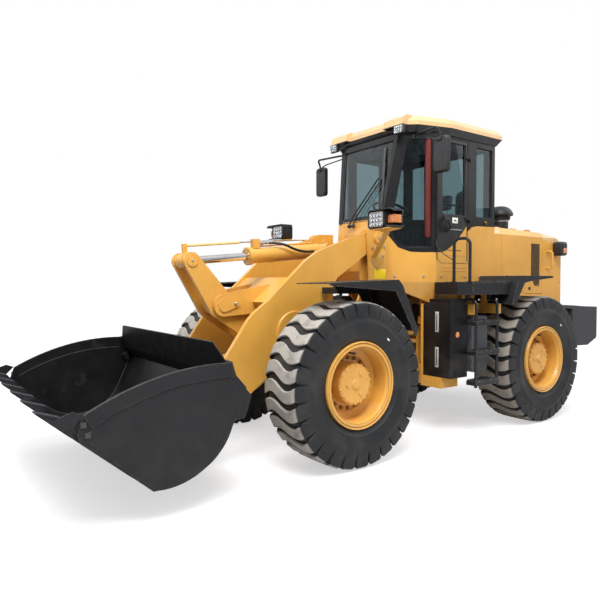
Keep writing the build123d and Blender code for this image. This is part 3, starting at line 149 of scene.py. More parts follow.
class Effects:
    """Shader node groups shared by the finishes, each built when first asked for."""

    def __init__(self) -> None:
        """Starts with no group built."""
        self.groups: dict[str, Tree] = {}

    def use(self, graph: Graph, name: str, build: Callable, **values: float) -> Socket:
        """Places a shared group in a material, building it the first time.

        Args:
            graph: The material's node tree.
            name: The group's name.
            build: Takes the group's tree and input sockets and returns the socket it puts out.
            **values: Its inputs by name, as this material sets them.

        Returns:
            The group's output socket.
        """
        if name not in self.groups:
            tree = bpy.data.node_groups.new(name, "ShaderNodeTree")
            for key in values:
                tree.interface.new_socket(name=key, in_out="INPUT", socket_type="NodeSocketFloat")
            tree.interface.new_socket(name="Value", in_out="OUTPUT", socket_type="NodeSocketFloat")
            inside = Graph(tree)
            inside.add("NodeGroupOutput", {0: build(inside, inside.add("NodeGroupInput").outputs)})
            self.groups[name] = tree
        return graph.add("ShaderNodeGroup", values, node_tree=self.groups[name]).outputs[0]

    def edge_wear(self, graph: Graph, width: float, amount: float, breakup: float = 30.0) -> Socket:
        """Mask of the corners where paint is rubbed off.

        Args:
            graph: The node tree.
            width: Width of a rubbed edge.
            amount: How strong the mask is.
            breakup: Scale of the patches.

        Returns:
            The mask's socket.
        """

        def build(g: Graph, inputs: object) -> Socket:
            """Wires the inside of the group."""
            bevel = g.add("ShaderNodeBevel", {"Radius": inputs["Width"]}, samples=4)
            geometry = g.add("ShaderNodeNewGeometry")
            pair = {0: bevel.outputs[0], 1: geometry.outputs["Normal"]}
            facing = g.add("ShaderNodeVectorMath", pair, operation="DOT_PRODUCT").outputs["Value"]
            corner = g.ramp(facing, 0.995, 0.86)
            patches = g.ramp(g.noise(inputs["Breakup"], 6.0), 0.42, 0.58)
            return g.times(g.times(corner, patches), inputs["Amount"])

        return self.use(graph, "Edge wear", build, Width=width, Amount=amount, Breakup=breakup)

    def dust(self, graph: Graph, amount: float, scale: float = 6.0) -> Socket:
        """Mask of the dust that settles on level and low surfaces.

        Args:
            graph: The node tree.
            amount: How strong the mask is.
            scale: Scale of the patches.

        Returns:
            The mask's socket.
        """

        def build(g: Graph, inputs: object) -> Socket:
            """Wires the inside of the group."""
            normal = g.add("ShaderNodeNewGeometry").outputs["Normal"]
            level = g.ramp(g.axis("Z", normal), 0.2, 1.0)
            low = g.ramp(g.axis("Z"), 1.1, 0.1)
            cover = g.math("ADD", g.times(level, 0.7), g.times(low, 0.6))
            patches = g.ramp(g.noise(inputs["Scale"], 8.0), 0.35, 0.75)
            return g.times(g.times(cover, patches), inputs["Amount"])

        return self.use(graph, "Dust", build, Amount=amount, Scale=scale)

    def streaks(self, graph: Graph, amount: float) -> Socket:
        """Mask of faint rain streaks down upright surfaces.

        Args:
            graph: The node tree.
            amount: How strong the mask is.

        Returns:
            The mask's socket.
        """

        def build(g: Graph, inputs: object) -> Socket:
            """Wires the inside of the group."""
            runs = g.ramp(g.noise(7.0, 5.0, (3.0, 3.0, 0.25)), 0.5, 0.8)
            return g.times(runs, inputs["Amount"])

        return self.use(graph, "Streaks", build, Amount=amount)

    def grain(self, graph: Graph, scale: float, detail: float) -> Socket:
        """Fine surface height, such as orange peel or moulded texture.

        Args:
            graph: The node tree.
            scale: Scale of the fine part.
            detail: Scale of the coarse part.

        Returns:
            The height's socket.
        """

        def build(g: Graph, inputs: object) -> Socket:
            """Wires the inside of the group."""
            fine = g.noise(inputs["Scale"], 3.0)
            coarse = g.noise(inputs["Detail"], 2.0)
            return g.math("ADD", g.times(fine, 0.5), g.times(coarse, 0.5))

        return self.use(graph, "Grain", build, Scale=scale, Detail=detail)

    def scratches(self, graph: Graph, scale: float, amount: float) -> Socket:
        """Mask of long thin scratches across a worked surface.

        Args:
            graph: The node tree.
            scale: Scale of the lines.
            amount: How strong the mask is.

        Returns:
            The mask's socket.
        """

        def build(g: Graph, inputs: object) -> Socket:
            """Wires the inside of the group."""
            lines = g.noise(inputs["Scale"], 2.0, (1.0, 0.12, 0.12))
            thin = g.ramp(lines, 0.6, 0.66)
            return g.times(thin, inputs["Amount"])

        return self.use(graph, "Scratches", build, Scale=scale, Amount=amount)


EFFECTS = Effects()


# ---- finishes ----


@dataclass(frozen=True)
class Finish:
    """A surface finish; its material is made once and then shared."""

    name: str
    colour: Colour = (0.5, 0.5, 0.5)
    roughness: float = 0.5
    metallic: float = 0.0
    specular: float = 0.5

    def material(self) -> Material:
        """Returns the material, building it the first time.

        Returns:
            The finish's one material.
        """
        known = bpy.data.materials.get(self.name)
        if known:
            return known
        made = bpy.data.materials.new(self.name)
        made.use_nodes = True
        made.node_tree.nodes.clear()
        graph = Graph(made.node_tree)
        shader = graph.add("ShaderNodeBsdfPrincipled", {
            "Base Color": (*self.colour, 1.0), "Roughness": self.roughness,
            "Metallic": self.metallic, "Specular IOR Level": self.specular,
        })
        self.wire(graph, shader)
        graph.add("ShaderNodeOutputMaterial", {"Surface": shader.outputs[0]})
        made.diffuse_color = (*self.colour, 1.0)
        return made

    def shade(self, factor: float, lift: float = 0.0) -> Colour:
        """Returns the colour scaled, then lifted."""
        return tuple(min(1.0, factor * c + lift) for c in self.colour)

    def wire(self, graph: Graph, shader: Node) -> None:
        """Adds what varies over the surface; each kind of finish has its own."""

    def set_bump(self, graph: Graph, shader: Node, height: object, depth: float, strength: float = 0.5) -> None:
        """Feeds a height into the shader's normal."""
        bump = graph.add("ShaderNodeBump", {"Height": height, "Distance": depth, "Strength": strength})
        graph.feed(shader, {"Normal": bump.outputs[0]})


@dataclass(frozen=True)
class Paint(Finish):
    """Sprayed paint over steel, with rubbed corners, dust and rain streaks."""

    bare: Colour = (0.3, 0.28, 0.26)
    dust_colour: Colour = (0.42, 0.37, 0.3)
    wear: float = 0.35
    wear_width: float = 0.004
    dust: float = 0.25
    streaks: float = 0.12
    coat: float = 0.25
    peel: float = 0.0004

    def tone(self, graph: Graph) -> object:
        """Returns the paint's colour before wear, with slight fading."""
        patches = graph.patches(1.6, 3.0, 0.3, 0.7)
        return graph.mix(patches, self.shade(0.9), self.shade(1.06, 0.003))

    def wire(self, graph: Graph, shader: Node) -> None:
        """Wires tone, streaks, dust, worn corners, gloss and orange peel."""
        dust = EFFECTS.dust(graph, self.dust)
        wear = EFFECTS.edge_wear(graph, self.wear_width, self.wear)
        colour = graph.mix(EFFECTS.streaks(graph, self.streaks), self.tone(graph), self.shade(0.55))
        colour = graph.mix(dust, colour, self.dust_colour)
        colour = graph.mix(wear, colour, self.bare)
        smudge = graph.ramp(graph.noise(9.0, 6.0), 0.3, 0.8, self.roughness - 0.05, self.roughness + 0.12)
        rough = graph.math("ADD", smudge, graph.times(dust, 0.4))
        graph.feed(
            shader,
            {
                "Base Color": colour, "Roughness": rough, "Metallic": graph.times(wear, 0.8), "Coat Weight": self.coat,
                "Coat Roughness": 0.18,
            },
        )
        self.set_bump(graph, shader, EFFECTS.grain(graph, 260.0, 40.0), self.peel, 0.35)


@dataclass(frozen=True)
class Zone:
    """Part of a node painted in another colour, beyond a level along an axis."""

    colour: Colour
    axis: str
    level: float
    above: bool = True
    start: float = 0.0
    rise: float = 0.0

    def mask(self, graph: Graph) -> Socket:
        """Returns 1 within the zone; along X both sides of the machine count alike.

        Args:
            graph: The node tree.

        Returns:
            The mask's socket.
        """
        value = graph.axis(self.axis)
        if self.axis == "X":
            value = graph.raw("ABSOLUTE", value)
        if self.rise:
            along = graph.raw("MAXIMUM", graph.raw("SUBTRACT", graph.axis("Y"), self.start), 0.0)
            value = graph.raw("SUBTRACT", value, graph.raw("MULTIPLY", graph.raw("POWER", along, 1.7), self.rise))
        step = 0.0012 if self.above else -0.0012
        return graph.ramp(value, self.level - step, self.level + step)


@dataclass(frozen=True)
class ZonedPaint(Paint):
    """Paint that changes colour in zones, and to the under colour on faces that look down."""

    zones: tuple[Zone, ...] = ()
    under: Colour | None = None

    def tone(self, graph: Graph) -> object:
        """Returns the paint's colour with each zone laid over it."""
        colour = super().tone(graph)
        for zone in self.zones:
            colour = graph.mix(zone.mask(graph), colour, zone.colour)
        if self.under is not None:
            normal = graph.add("ShaderNodeNewGeometry").outputs["Normal"]
            colour = graph.mix(graph.ramp(graph.axis("Z", normal), -0.12, -0.2), colour, self.under)
        return colour


@dataclass(frozen=True)
class PaintedRod(Finish):
    """Chromed rod whose eye and foot are painted."""

    paint: Colour = (0.5, 0.5, 0.5)
    limit: float = 0.0

    def wire(self, graph: Graph, shader: Node) -> None:
        """Wires paint at the eye and polish along the rod."""
        eye = Zone(self.paint, "Y", self.limit, above=False).mask(graph)
        oil = graph.times(graph.patches(9.0, 6.0, 0.5, 0.8), 0.25)
        bright = graph.mix(oil, self.colour, (0.35, 0.33, 0.3))
        graph.feed(
            shader, {"Base Color": graph.mix(eye, bright, self.paint), "Metallic": graph.math("SUBTRACT", 1.0, eye)},
        )
        rough = graph.math("ADD", graph.times(eye, 0.3), graph.math("ADD", self.roughness, graph.times(oil, 0.3)))
        graph.feed(shader, {"Roughness": rough})
        self.set_bump(graph, shader, EFFECTS.grain(graph, 260.0, 40.0), 0.0002, 0.3)


@dataclass(frozen=True)
class BucketPaint(Paint):
    """Paint of the bucket: a near-black painted shade with scratches inside the hollow, dust outside."""

    # near-black colour of the faces in the hollow: painted shade
    inside: Colour = (0.006, 0.006, 0.007)
    hollow: Point = (0.0, 0.0, 0.0)

    def inner(self, graph: Graph) -> object:
        """Returns the mask of the faces that look into the bucket's hollow.

        Args:
            graph: The node tree.

        Returns:
            The mask's socket.
        """
        geometry = graph.add("ShaderNodeNewGeometry")
        away = graph.add("ShaderNodeVectorMath", {0: graph.place(), 1: self.hollow}, operation="SUBTRACT").outputs[0]
        away = graph.add("ShaderNodeVectorMath", {0: away, 1: (0.25, 1.0, 1.0)}, operation="MULTIPLY").outputs[0]
        pair = {0: away, 1: geometry.outputs["Normal"]}
        outward = graph.add("ShaderNodeVectorMath", pair, operation="DOT_PRODUCT").outputs["Value"]
        return graph.ramp(outward, 0.03, -0.03)

    def tone(self, graph: Graph) -> object:
        """Returns the outer colour and, in the hollow, a near-black painted shade with scratches."""
        inner = self.inner(graph)
        # painted shade of the hollow, crossed by lighter scratches
        hollow_shade_and_scratches = graph.mix(EFFECTS.scratches(graph, 45.0, 0.18), self.inside, (0.06, 0.06, 0.065))
        return graph.mix(inner, super().tone(graph), hollow_shade_and_scratches)


@dataclass(frozen=True)
class Metal(Finish):
    """Bare or cast metal with stains and fine marks."""

    stain: Colour = (0.1, 0.07, 0.05)
    stained: float = 0.3
    marks: float = 0.2
    depth: float = 0.0003

    def wire(self, graph: Graph, shader: Node) -> None:
        """Wires stains into the colour and roughness, and marks into the bump."""
        spots = graph.times(graph.patches(14.0, 8.0, 0.5, 0.75), self.stained)
        marks = EFFECTS.scratches(graph, 120.0, self.marks)
        colour = graph.mix(spots, self.colour, self.stain)
        colour = graph.mix(marks, colour, self.shade(1.5))
        rough = graph.math("ADD", graph.times(spots, 0.5), self.roughness)
        graph.feed(shader, {"Base Color": colour, "Roughness": rough})
        self.set_bump(graph, shader, EFFECTS.grain(graph, 220.0, 60.0), self.depth, 0.5)


@dataclass(frozen=True)
class Rubber(Finish):
    """Tyre or hose rubber; dust lies outside a radius round the axle."""

    dust_colour: Colour = (0.55, 0.52, 0.47)
    dust: float = 0.9
    axle: Point | None = None
    tread: float = 0.655

    def wire(self, graph: Graph, shader: Node) -> None:
        """Wires the dusty crown, the dark walls and a fine rubber grain."""
        mottle = graph.patches(5.0, 6.0, 0.3, 0.75)
        colour = graph.mix(mottle, self.shade(0.8), self.shade(1.35))
        dust = graph.times(graph.patches(3.0, 6.0, 0.4, 0.9), 0.25)
        if self.axle is not None:
            away = graph.add("ShaderNodeVectorMath", {0: graph.place(), 1: self.axle}, operation="SUBTRACT").outputs[0]
            flat = graph.add("ShaderNodeVectorMath", {0: away, 1: (0.0, 1.0, 1.0)}, operation="MULTIPLY").outputs[0]
            radius = graph.add("ShaderNodeVectorMath", {0: flat}, operation="LENGTH").outputs["Value"]
            crown = graph.ramp(radius, self.tread - 0.004, self.tread + 0.004)
            blotch = graph.ramp(graph.noise(11.0, 8.0), 0.25, 0.55, 0.55, 1.0)
            crown = graph.times(graph.times(crown, blotch), self.dust)
            dust = graph.math("ADD", graph.times(dust, 0.35), crown)
        colour = graph.mix(dust, colour, self.dust_colour)
        rough = graph.math("ADD", graph.times(dust, 0.35), self.roughness)
        graph.feed(shader, {"Base Color": colour, "Roughness": rough})
        self.set_bump(graph, shader, EFFECTS.grain(graph, 300.0, 90.0), 0.0006, 0.6)


@dataclass(frozen=True)
class Moulding(Finish):
    """Moulded plastic with a fine leathery grain and scuffs."""

    grain: float = 0.0004

    def wire(self, graph: Graph, shader: Node) -> None:
        """Wires scuffs into colour and roughness, and the grain into the bump."""
        scuff = graph.times(graph.patches(24.0, 8.0, 0.5, 0.8), 0.35)
        colour = graph.mix(scuff, self.colour, self.shade(0.8, 0.08))
        rough = graph.math("ADD", graph.times(scuff, 0.3), self.roughness)
        graph.feed(shader, {"Base Color": colour, "Roughness": rough})
        self.set_bump(graph, shader, EFFECTS.grain(graph, 520.0, 180.0), self.grain, 0.5)


@dataclass(frozen=True)
class Glazing(Finish):
    """Tinted window glass under a faint film of dust."""

    tint: Colour = (0.3, 0.4, 0.42)

    def wire(self, graph: Graph, shader: Node) -> None:
        """Wires a faint film of dust into the tint of clear glass."""
        graph.feed(shader, {"Transmission Weight": 1.0, "IOR": 1.3, "Roughness": 0.0})
        film = graph.times(graph.patches(4.0, 8.0, 0.4, 0.85), 0.5)
        colour = graph.mix(film, self.tint, tuple(0.8 * c + 0.05 for c in self.tint))
        graph.feed(shader, {"Base Color": colour})


@dataclass(frozen=True)
class LampLens(Finish):
    """Ribbed lamp lens over a bright reflector."""

    ribs: float = 90.0

    def wire(self, graph: Graph, shader: Node) -> None:
        """Wires moulded ribs and cells into colour and bump."""
        place = graph.place()
        waves = [graph.raw("SINE", graph.raw("MULTIPLY", graph.axis(name, place), self.ribs)) for name in ("X", "Z")]
        cells = graph.raw("MULTIPLY", *waves)
        colour = graph.mix(graph.ramp(cells, -0.5, 0.6), self.shade(0.6), self.shade(1.5, 0.1))
        graph.feed(shader, {"Base Color": colour, "Coat Weight": 1.0, "Coat Roughness": 0.03})
        self.set_bump(graph, shader, cells, 0.002, 0.6)


def srgb(code: str) -> Colour:
    """Returns the linear colour of a six-digit hex code."""
    parts = [int(code[i : i + 2], 16) / 255 for i in (0, 2, 4)]
    linear = [c / 12.92 if c <= 0.04045 else ((c + 0.055) / 1.055) ** 2.4 for c in parts]
    return (linear[0], linear[1], linear[2])


YELLOW = srgb("DBA144")
PALE = srgb("DFB480")
BLACK = srgb("121214")
PAINTS = {
    "yellow": Paint("Yellow paint", YELLOW, 0.34),
    "dark": Paint(
        "Dark satin paint", srgb("17181A"), 0.45, specular=0.25, peel=0.0006, coat=0.1, wear=0.3, bare=srgb("77757A"),
    ),
    "plate": Paint(
        "Worn dark plate", srgb("1E1E20"), 0.5, specular=0.25, wear=0.9, wear_width=0.005, bare=srgb("A6A4A2"),
        dust=0.12,
    ),
    "roof": Paint("Roof paint", srgb("EBC083"), 0.38, wear=0.15),
    "trim": Paint("Black trim paint", srgb("101012"), 0.38, specular=0.3, coat=0.1, wear=0.25, bare=srgb("66645F")),
    "white": Paint("Blank plate paint", srgb("EFEBE0"), 0.4, wear=0.2, dust=0.1),
    "sign": Paint("Blank yellow sign", srgb("FFD400"), 0.35, wear=0.2, dust=0.1),
    "bucket_side": Paint(
        "Bucket side paint", srgb("202022"), 0.45, specular=0.3, wear=0.7, bare=srgb("8C8987"), dust=0.05, coat=0.0,
        peel=0.0012,
    ),
    "edge_steel": Metal(
        "Cutting edge steel", srgb("2C2C2E"), 0.45, 0.5, stain=srgb("1A1A1B"), stained=0.4, marks=0.7, depth=0.001,
    ),
    "pin_steel": Metal("Pin steel", srgb("8E8B86"), 0.35, 0.9),
    "bolt": Metal("Plated bolts", srgb("C9C7C0"), 0.28, 0.95, stained=0.15),
    "dark_bolt": Metal("Dark bolts", srgb("4A4A4C"), 0.4, 0.8),
    "chrome": Metal("Chromed rod", srgb("DAD9D8"), 0.09, 1.0, stained=0.06, marks=0.1, depth=0.00005),
    "casting": Metal("Cast iron", srgb("3E3D40"), 0.62, 0.2, depth=0.0022, stained=0.35),
    "bead": Metal("Weld beads", srgb("4A4A4C"), 0.45, 0.5, stain=srgb("242425")),
    # wheel nuts: their yellow darkened to brown-yellow as painted shade
    "shaded_nut_yellow": Metal("Wheel nuts", srgb("8F6A30"), 0.55, 0.2, stained=0.5),
    "brass": Metal("Brass", srgb("C9A24A"), 0.3, 1.0, stained=0.2),
    "zinc": Metal("Zinc plate", srgb("C6C8CB"), 0.5, 0.25, stained=0.2),
    "tank": Metal("Painted tank steel", srgb("6D6F72"), 0.5, 0.3),
    "plastic": Moulding("Black plastic", srgb("202022"), 0.45),
    "vinyl": Moulding("Seat vinyl", srgb("6F7276"), 0.5, grain=0.0007),
    "shade": Paint("Shaded sheet", srgb("8E6A2E"), 0.5),
    "cover": Moulding("Seat cover", srgb("A9AEB2"), 0.35, grain=0.0003),
    "panel": Moulding("Dash plastic", srgb("3A393B"), 0.5),
    "bar": Moulding("Interior bar", srgb("6C2620"), 0.45),
    "seal": Moulding("Window seal", srgb("141416"), 0.6),
    "hose": Rubber("Hose rubber", srgb("161618"), 0.5, dust=0.2),
    "glass": Glazing("Window glass"),
    "mirror": Metal("Mirror glass", srgb("C9D2D6"), 0.03, 1.0, stained=0.05, marks=0.05, depth=0.0),
    "lens": LampLens("Lamp lens", srgb("B4BABF"), 0.12, 0.3, ribs=200.0),
    "amber": LampLens("Amber lens", srgb("E8791C"), 0.15, 0.0, ribs=330.0),
    "red": LampLens("Red lens", srgb("A8161A"), 0.15, 0.0, ribs=330.0),
}


def finish(name: str) -> Material:
    """Returns the material of a named finish."""
    return PAINTS[name].material()


# ---- the frame ----


@dataclass(frozen=True)
class Datum:
    """Where the drawing's stations lie in the frame."""

    front_axle: float = -0.887196
    axle_height: float = 0.675
    rear_axle: float = 2.625
    track: float = 0.913

    def at(self, x: float, y: float, z: float) -> Vector:
        """Returns a drawn point, in metres from the front axle, in the frame."""
        return Vector((x, y + self.front_axle, z))

    def mm(self, x: float, y: float, z: float) -> Vector:
        """Returns a drawn point given in millimetres."""
        return self.at(x / 1000, y / 1000, z / 1000)


DATUM = Datum()
mm = DATUM.mm


class Axis(Enum):
    """Directions that a turned part can point in."""

    LEFT = Vector((1, 0, 0))
    RIGHT = Vector((-1, 0, 0))
    AHEAD = Vector((0, -1, 0))
    BACK = Vector((0, 1, 0))
    UP = Vector((0, 0, 1))
    DOWN = Vector((0, 0, -1))

    def turn(self, place: Vector) -> Matrix:
        """Returns the matrix that carries local +Z to this axis at a place."""
        return aim(place, self.value)

    @staticmethod
    def out(side: float) -> "Axis":
        """Returns the axis that points outwards on a side, 1 left and -1 right."""
        return Axis.LEFT if side > 0 else Axis.RIGHT


def shift(x: float, y: float, z: float) -> Matrix:
    """Returns the matrix of a move."""
    return Matrix.Translation((x, y, z))


def around(place: Matrix, angle: float, radius: float, level: float) -> Matrix:
    """Returns the place turned about its Z, then moved out and up."""
    return place @ Matrix.Rotation(angle, 4, "Z") @ shift(radius, 0, level)


def facet(side: float) -> Vector:
    """Returns the way out from the cab's slanted front corner on a side."""
    return Vector((side * 0.807, -0.591, 0))


def aim(place: Vector, direction: Vector, up: Vector | None = None) -> Matrix:
    """Returns the matrix with local Z along a direction.

    Args:
        place: Where the local origin goes.
        direction: Where local Z points.
        up: What local Y leans towards.

    Returns:
        The 4x4 matrix.
    """
    z = direction.normalized()
    side = up or (Vector((0, 0, 1)) if abs(z.z) < 0.9 else Vector((0, 1, 0)))
    x = side.cross(z).normalized()
    y = z.cross(x)
    turned = Matrix((x, y, z)).transposed().to_4x4()
    return Matrix.Translation(place) @ turned


# ---- shapes ----


class Shape:
    """An object being modelled in place from parts, each with its own finish."""

    def __init__(self, name: str) -> None:
        """Starts an empty shape that will become the object of that name."""
        self.name = name
        self.mesh = bmesh.new()
        self.slots: list[str] = []

    @contextmanager
    def part(self, finish_name: str, place: Matrix | None = None, smooth: bool = True) -> Iterator[Mesh]:
        """Opens a mesh for one part, then joins it to the shape.

        Args:
            finish_name: The finish of the part's faces.
            place: Where the part's own frame goes.
            smooth: Whether its faces are shaded smooth.

        Yields:
            The part's mesh.
        """
        mesh = bmesh.new()
        yield mesh
        if finish_name not in self.slots:
            self.slots.append(finish_name)
        for face in mesh.faces:
            face.material_index = self.slots.index(finish_name)
            face.smooth = smooth
        if place is not None:
            bmesh.ops.transform(mesh, matrix=place, verts=mesh.verts[:])
        bmesh.ops.recalc_face_normals(mesh, faces=mesh.faces[:])
        data = bpy.data.meshes.new("part")
        mesh.to_mesh(data)
        mesh.free()
        self.mesh.from_mesh(data)
        bpy.data.meshes.remove(data)

    @staticmethod
    def round_off(mesh: Mesh, edges: Sequence[bmesh.types.BMEdge], offset: float, segments: int = 2) -> None:
        """Bevels edges of a part."""
        bmesh.ops.bevel(
            mesh, geom=list(edges), offset=offset, offset_type="OFFSET", segments=segments,
            affect="EDGES", profile=0.5, material=-1, clamp_overlap=True,
        )

    @staticmethod
    def cube(mesh: Mesh, size: Point) -> None:
        """Adds a block of three sizes round the part's origin."""
        bmesh.ops.create_cube(mesh, size=1.0, matrix=Matrix.Diagonal((*size, 1.0)))

    @staticmethod
    def deep_edges(mesh: Mesh, least: float) -> list[bmesh.types.BMEdge]:
        """Returns the edges that reach further than a length along Y."""
        return [e for e in mesh.edges if abs((e.verts[0].co - e.verts[1].co).y) > least]

    @staticmethod
    def thicken(mesh: Mesh, faces: Sequence[bmesh.types.BMFace], reach: Point) -> None:
        """Extrudes faces along a vector and keeps the first ones as the back."""
        made = bmesh.ops.extrude_face_region(mesh, geom=list(faces), use_keep_orig=True)
        moved = [v for v in made["geom"] if isinstance(v, bmesh.types.BMVert)]
        bmesh.ops.translate(mesh, verts=moved, vec=reach)

    def box(self, place: Matrix | Vector, size: Point, finish_name: str, bevel: float = 0.0, segments: int = 2) -> None:
        """Adds a block with rounded edges."""
        spot = place if isinstance(place, Matrix) else Matrix.Translation(place)
        with self.part(finish_name, spot) as mesh:
            self.cube(mesh, size)
            if bevel > 0:
                self.round_off(mesh, mesh.edges[:], bevel, segments)

    def turned(self, place: Matrix, profile: Sequence[Point], finish_name: str, sides: int = 24) -> None:
        """Adds a shape spun about local Z from (radius, height) stations.

        Args:
            place: Where the local frame goes.
            profile: Stations from one end of the axis to the other.
            finish_name: The finish of its faces.
            sides: Steps round the axis.
        """
        with self.part(finish_name, place) as mesh:
            verts = [mesh.verts.new((max(r, 0.0), 0.0, z)) for r, z in profile]
            edges = [mesh.edges.new(pair) for pair in zip(verts, verts[1:])]
            bmesh.ops.spin(
                mesh, geom=verts + edges, cent=(0, 0, 0), axis=(0, 0, 1), dvec=(0, 0, 0),
                angle=math.tau, steps=sides, use_merge=True, use_duplicate=False,
            )
            bmesh.ops.remove_doubles(mesh, verts=mesh.verts[:], dist=1e-6)

    def bolt(self, place: Matrix, radius: float, height: float, finish_name: str = "bolt", washer: bool = True) -> None:
        """Adds a hexagon head with a chamfer, on a washer.

        Args:
            place: Where its foot sits.
            radius: Half its width.
            height: Its height.
            finish_name: The finish of its faces.
            washer: Whether a washer lies under it.
        """
        if washer:
            ring = [(0, 0), (1.28 * radius, 0), (1.28 * radius, 0.12 * radius), (0, 0.12 * radius)]
            self.turned(place, ring, finish_name, 12)
        with self.part(finish_name, place, smooth=False) as mesh:
            lift = shift(0, 0, height / 2 + 0.1 * radius)
            bmesh.ops.create_cone(
                mesh, cap_ends=True, segments=6, radius1=radius, radius2=radius, depth=height, matrix=lift,
            )
            rim = [e for e in mesh.edges if all(v.co.z > 0.1 * radius + 0.9 * height for v in e.verts)]
            self.round_off(mesh, rim, 0.13 * radius, 1)

    def tube(self, path: Sequence[Vector], radius: float, finish_name: str, sides: int = 10, bend: float = 0.0) -> None:
        """Adds a round bar or hose along a path with rounded corners.

        Args:
            path: The corner points.
            radius: Half the bar's thickness.
            finish_name: Its finish.
            sides: Faces round it.
            bend: How far from each corner the rounding starts.
        """
        points = self.rounded(list(path), bend) if bend else list(path)
        sections = []
        side = None
        for i, point in enumerate(points):
            along = (points[min(i + 1, len(points) - 1)] - points[max(i - 1, 0)]).normalized()
            side = side or along.orthogonal().normalized()
            side = (side - along * side.dot(along)).normalized()
            other = along.cross(side)
            turns = [math.tau * k / sides for k in range(sides)]
            sections.append([point + radius * (side * math.cos(t) + other * math.sin(t)) for t in turns])
        with self.part(finish_name) as mesh:
            self.loft(mesh, sections)

    @staticmethod
    def loft(mesh: Mesh, sections: Sequence[Sequence[Vector]]) -> None:
        """Bridges closed sections one after the other and fills both ends.

        Args:
            mesh: The part's mesh.
            sections: Rings of points, all with the same count.
        """
        loops = []
        for section in sections:
            ring = bmesh.ops.create_circle(mesh, cap_ends=False, segments=len(section), radius=1.0)["verts"]
            for vert, point in zip(ring, section):
                vert.co = point
            loops.append(list(dict.fromkeys(edge for vert in ring for edge in vert.link_edges)))
        for a, b in zip(loops, loops[1:]):
            bmesh.ops.bridge_loops(mesh, edges=a + b)
        bmesh.ops.holes_fill(mesh, edges=loops[0] + loops[-1], sides=0)

    @staticmethod
    def rounded(points: list[Vector], bend: float) -> list[Vector]:
        """Returns the path with each inner corner turned into a short curve.

        Args:
            points: The path's corners.
            bend: How far from a corner its curve starts.

        Returns:
            The path's points.
        """
        made = [points[0]]
        for before, corner, after in zip(points, points[1:], points[2:]):
            reach = min(bend, (corner - before).length * 0.48, (after - corner).length * 0.48)
            a = corner + (before - corner).normalized() * reach
            b = corner + (after - corner).normalized() * reach
            for k in range(7):
                t = k / 6
                made.append(a * (1 - t) ** 2 + corner * 2 * t * (1 - t) + b * t**2)
        return made + [points[-1]]

    def plate(self, outline: Sequence[Vector], thickness: Vector, finish_name: str, bevel: float = 0.0) -> None:
        """Adds a flat plate from its outline, thickened along a vector.

        Args:
            outline: Its corners.
            thickness: How far and which way it is thickened.
            finish_name: The finish of its faces.
            bevel: Rounding of every edge.
        """
        with self.part(finish_name) as mesh:
            face = mesh.faces.new([mesh.verts.new(p) for p in outline])
            self.thicken(mesh, [face], thickness)
            bmesh.ops.recalc_face_normals(mesh, faces=mesh.faces[:])
            if bevel > 0:
                self.round_off(mesh, mesh.edges[:], bevel)

    def done(self, body: str, replaces: Sequence[str] = (), auto: float = 35.0) -> Object:
        """Makes the object, shades it and lets it ride its body.

        Args:
            body: The CAD body that it moves with.
            replaces: CAD nodes that it stands for.
            auto: Angle in degrees beyond which an edge stays sharp.

        Returns:
            The new object.
        """
        data = bpy.data.meshes.new(self.name)
        for edge in self.mesh.edges:
            if len(edge.link_faces) == 2 and edge.calc_face_angle(0.0) > math.radians(auto):
                edge.smooth = False
        self.mesh.to_mesh(data)
        self.mesh.free()
        made = bpy.data.objects.new(self.name, data)
        bpy.context.scene.collection.objects.link(made)
        for name in self.slots:
            data.materials.append(finish(name))
        if replaces:
            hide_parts(*replaces)
        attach(made, body)
        LOG.info("%s: %d faces", self.name, len(data.polygons))
        return made


# ---- studio ----


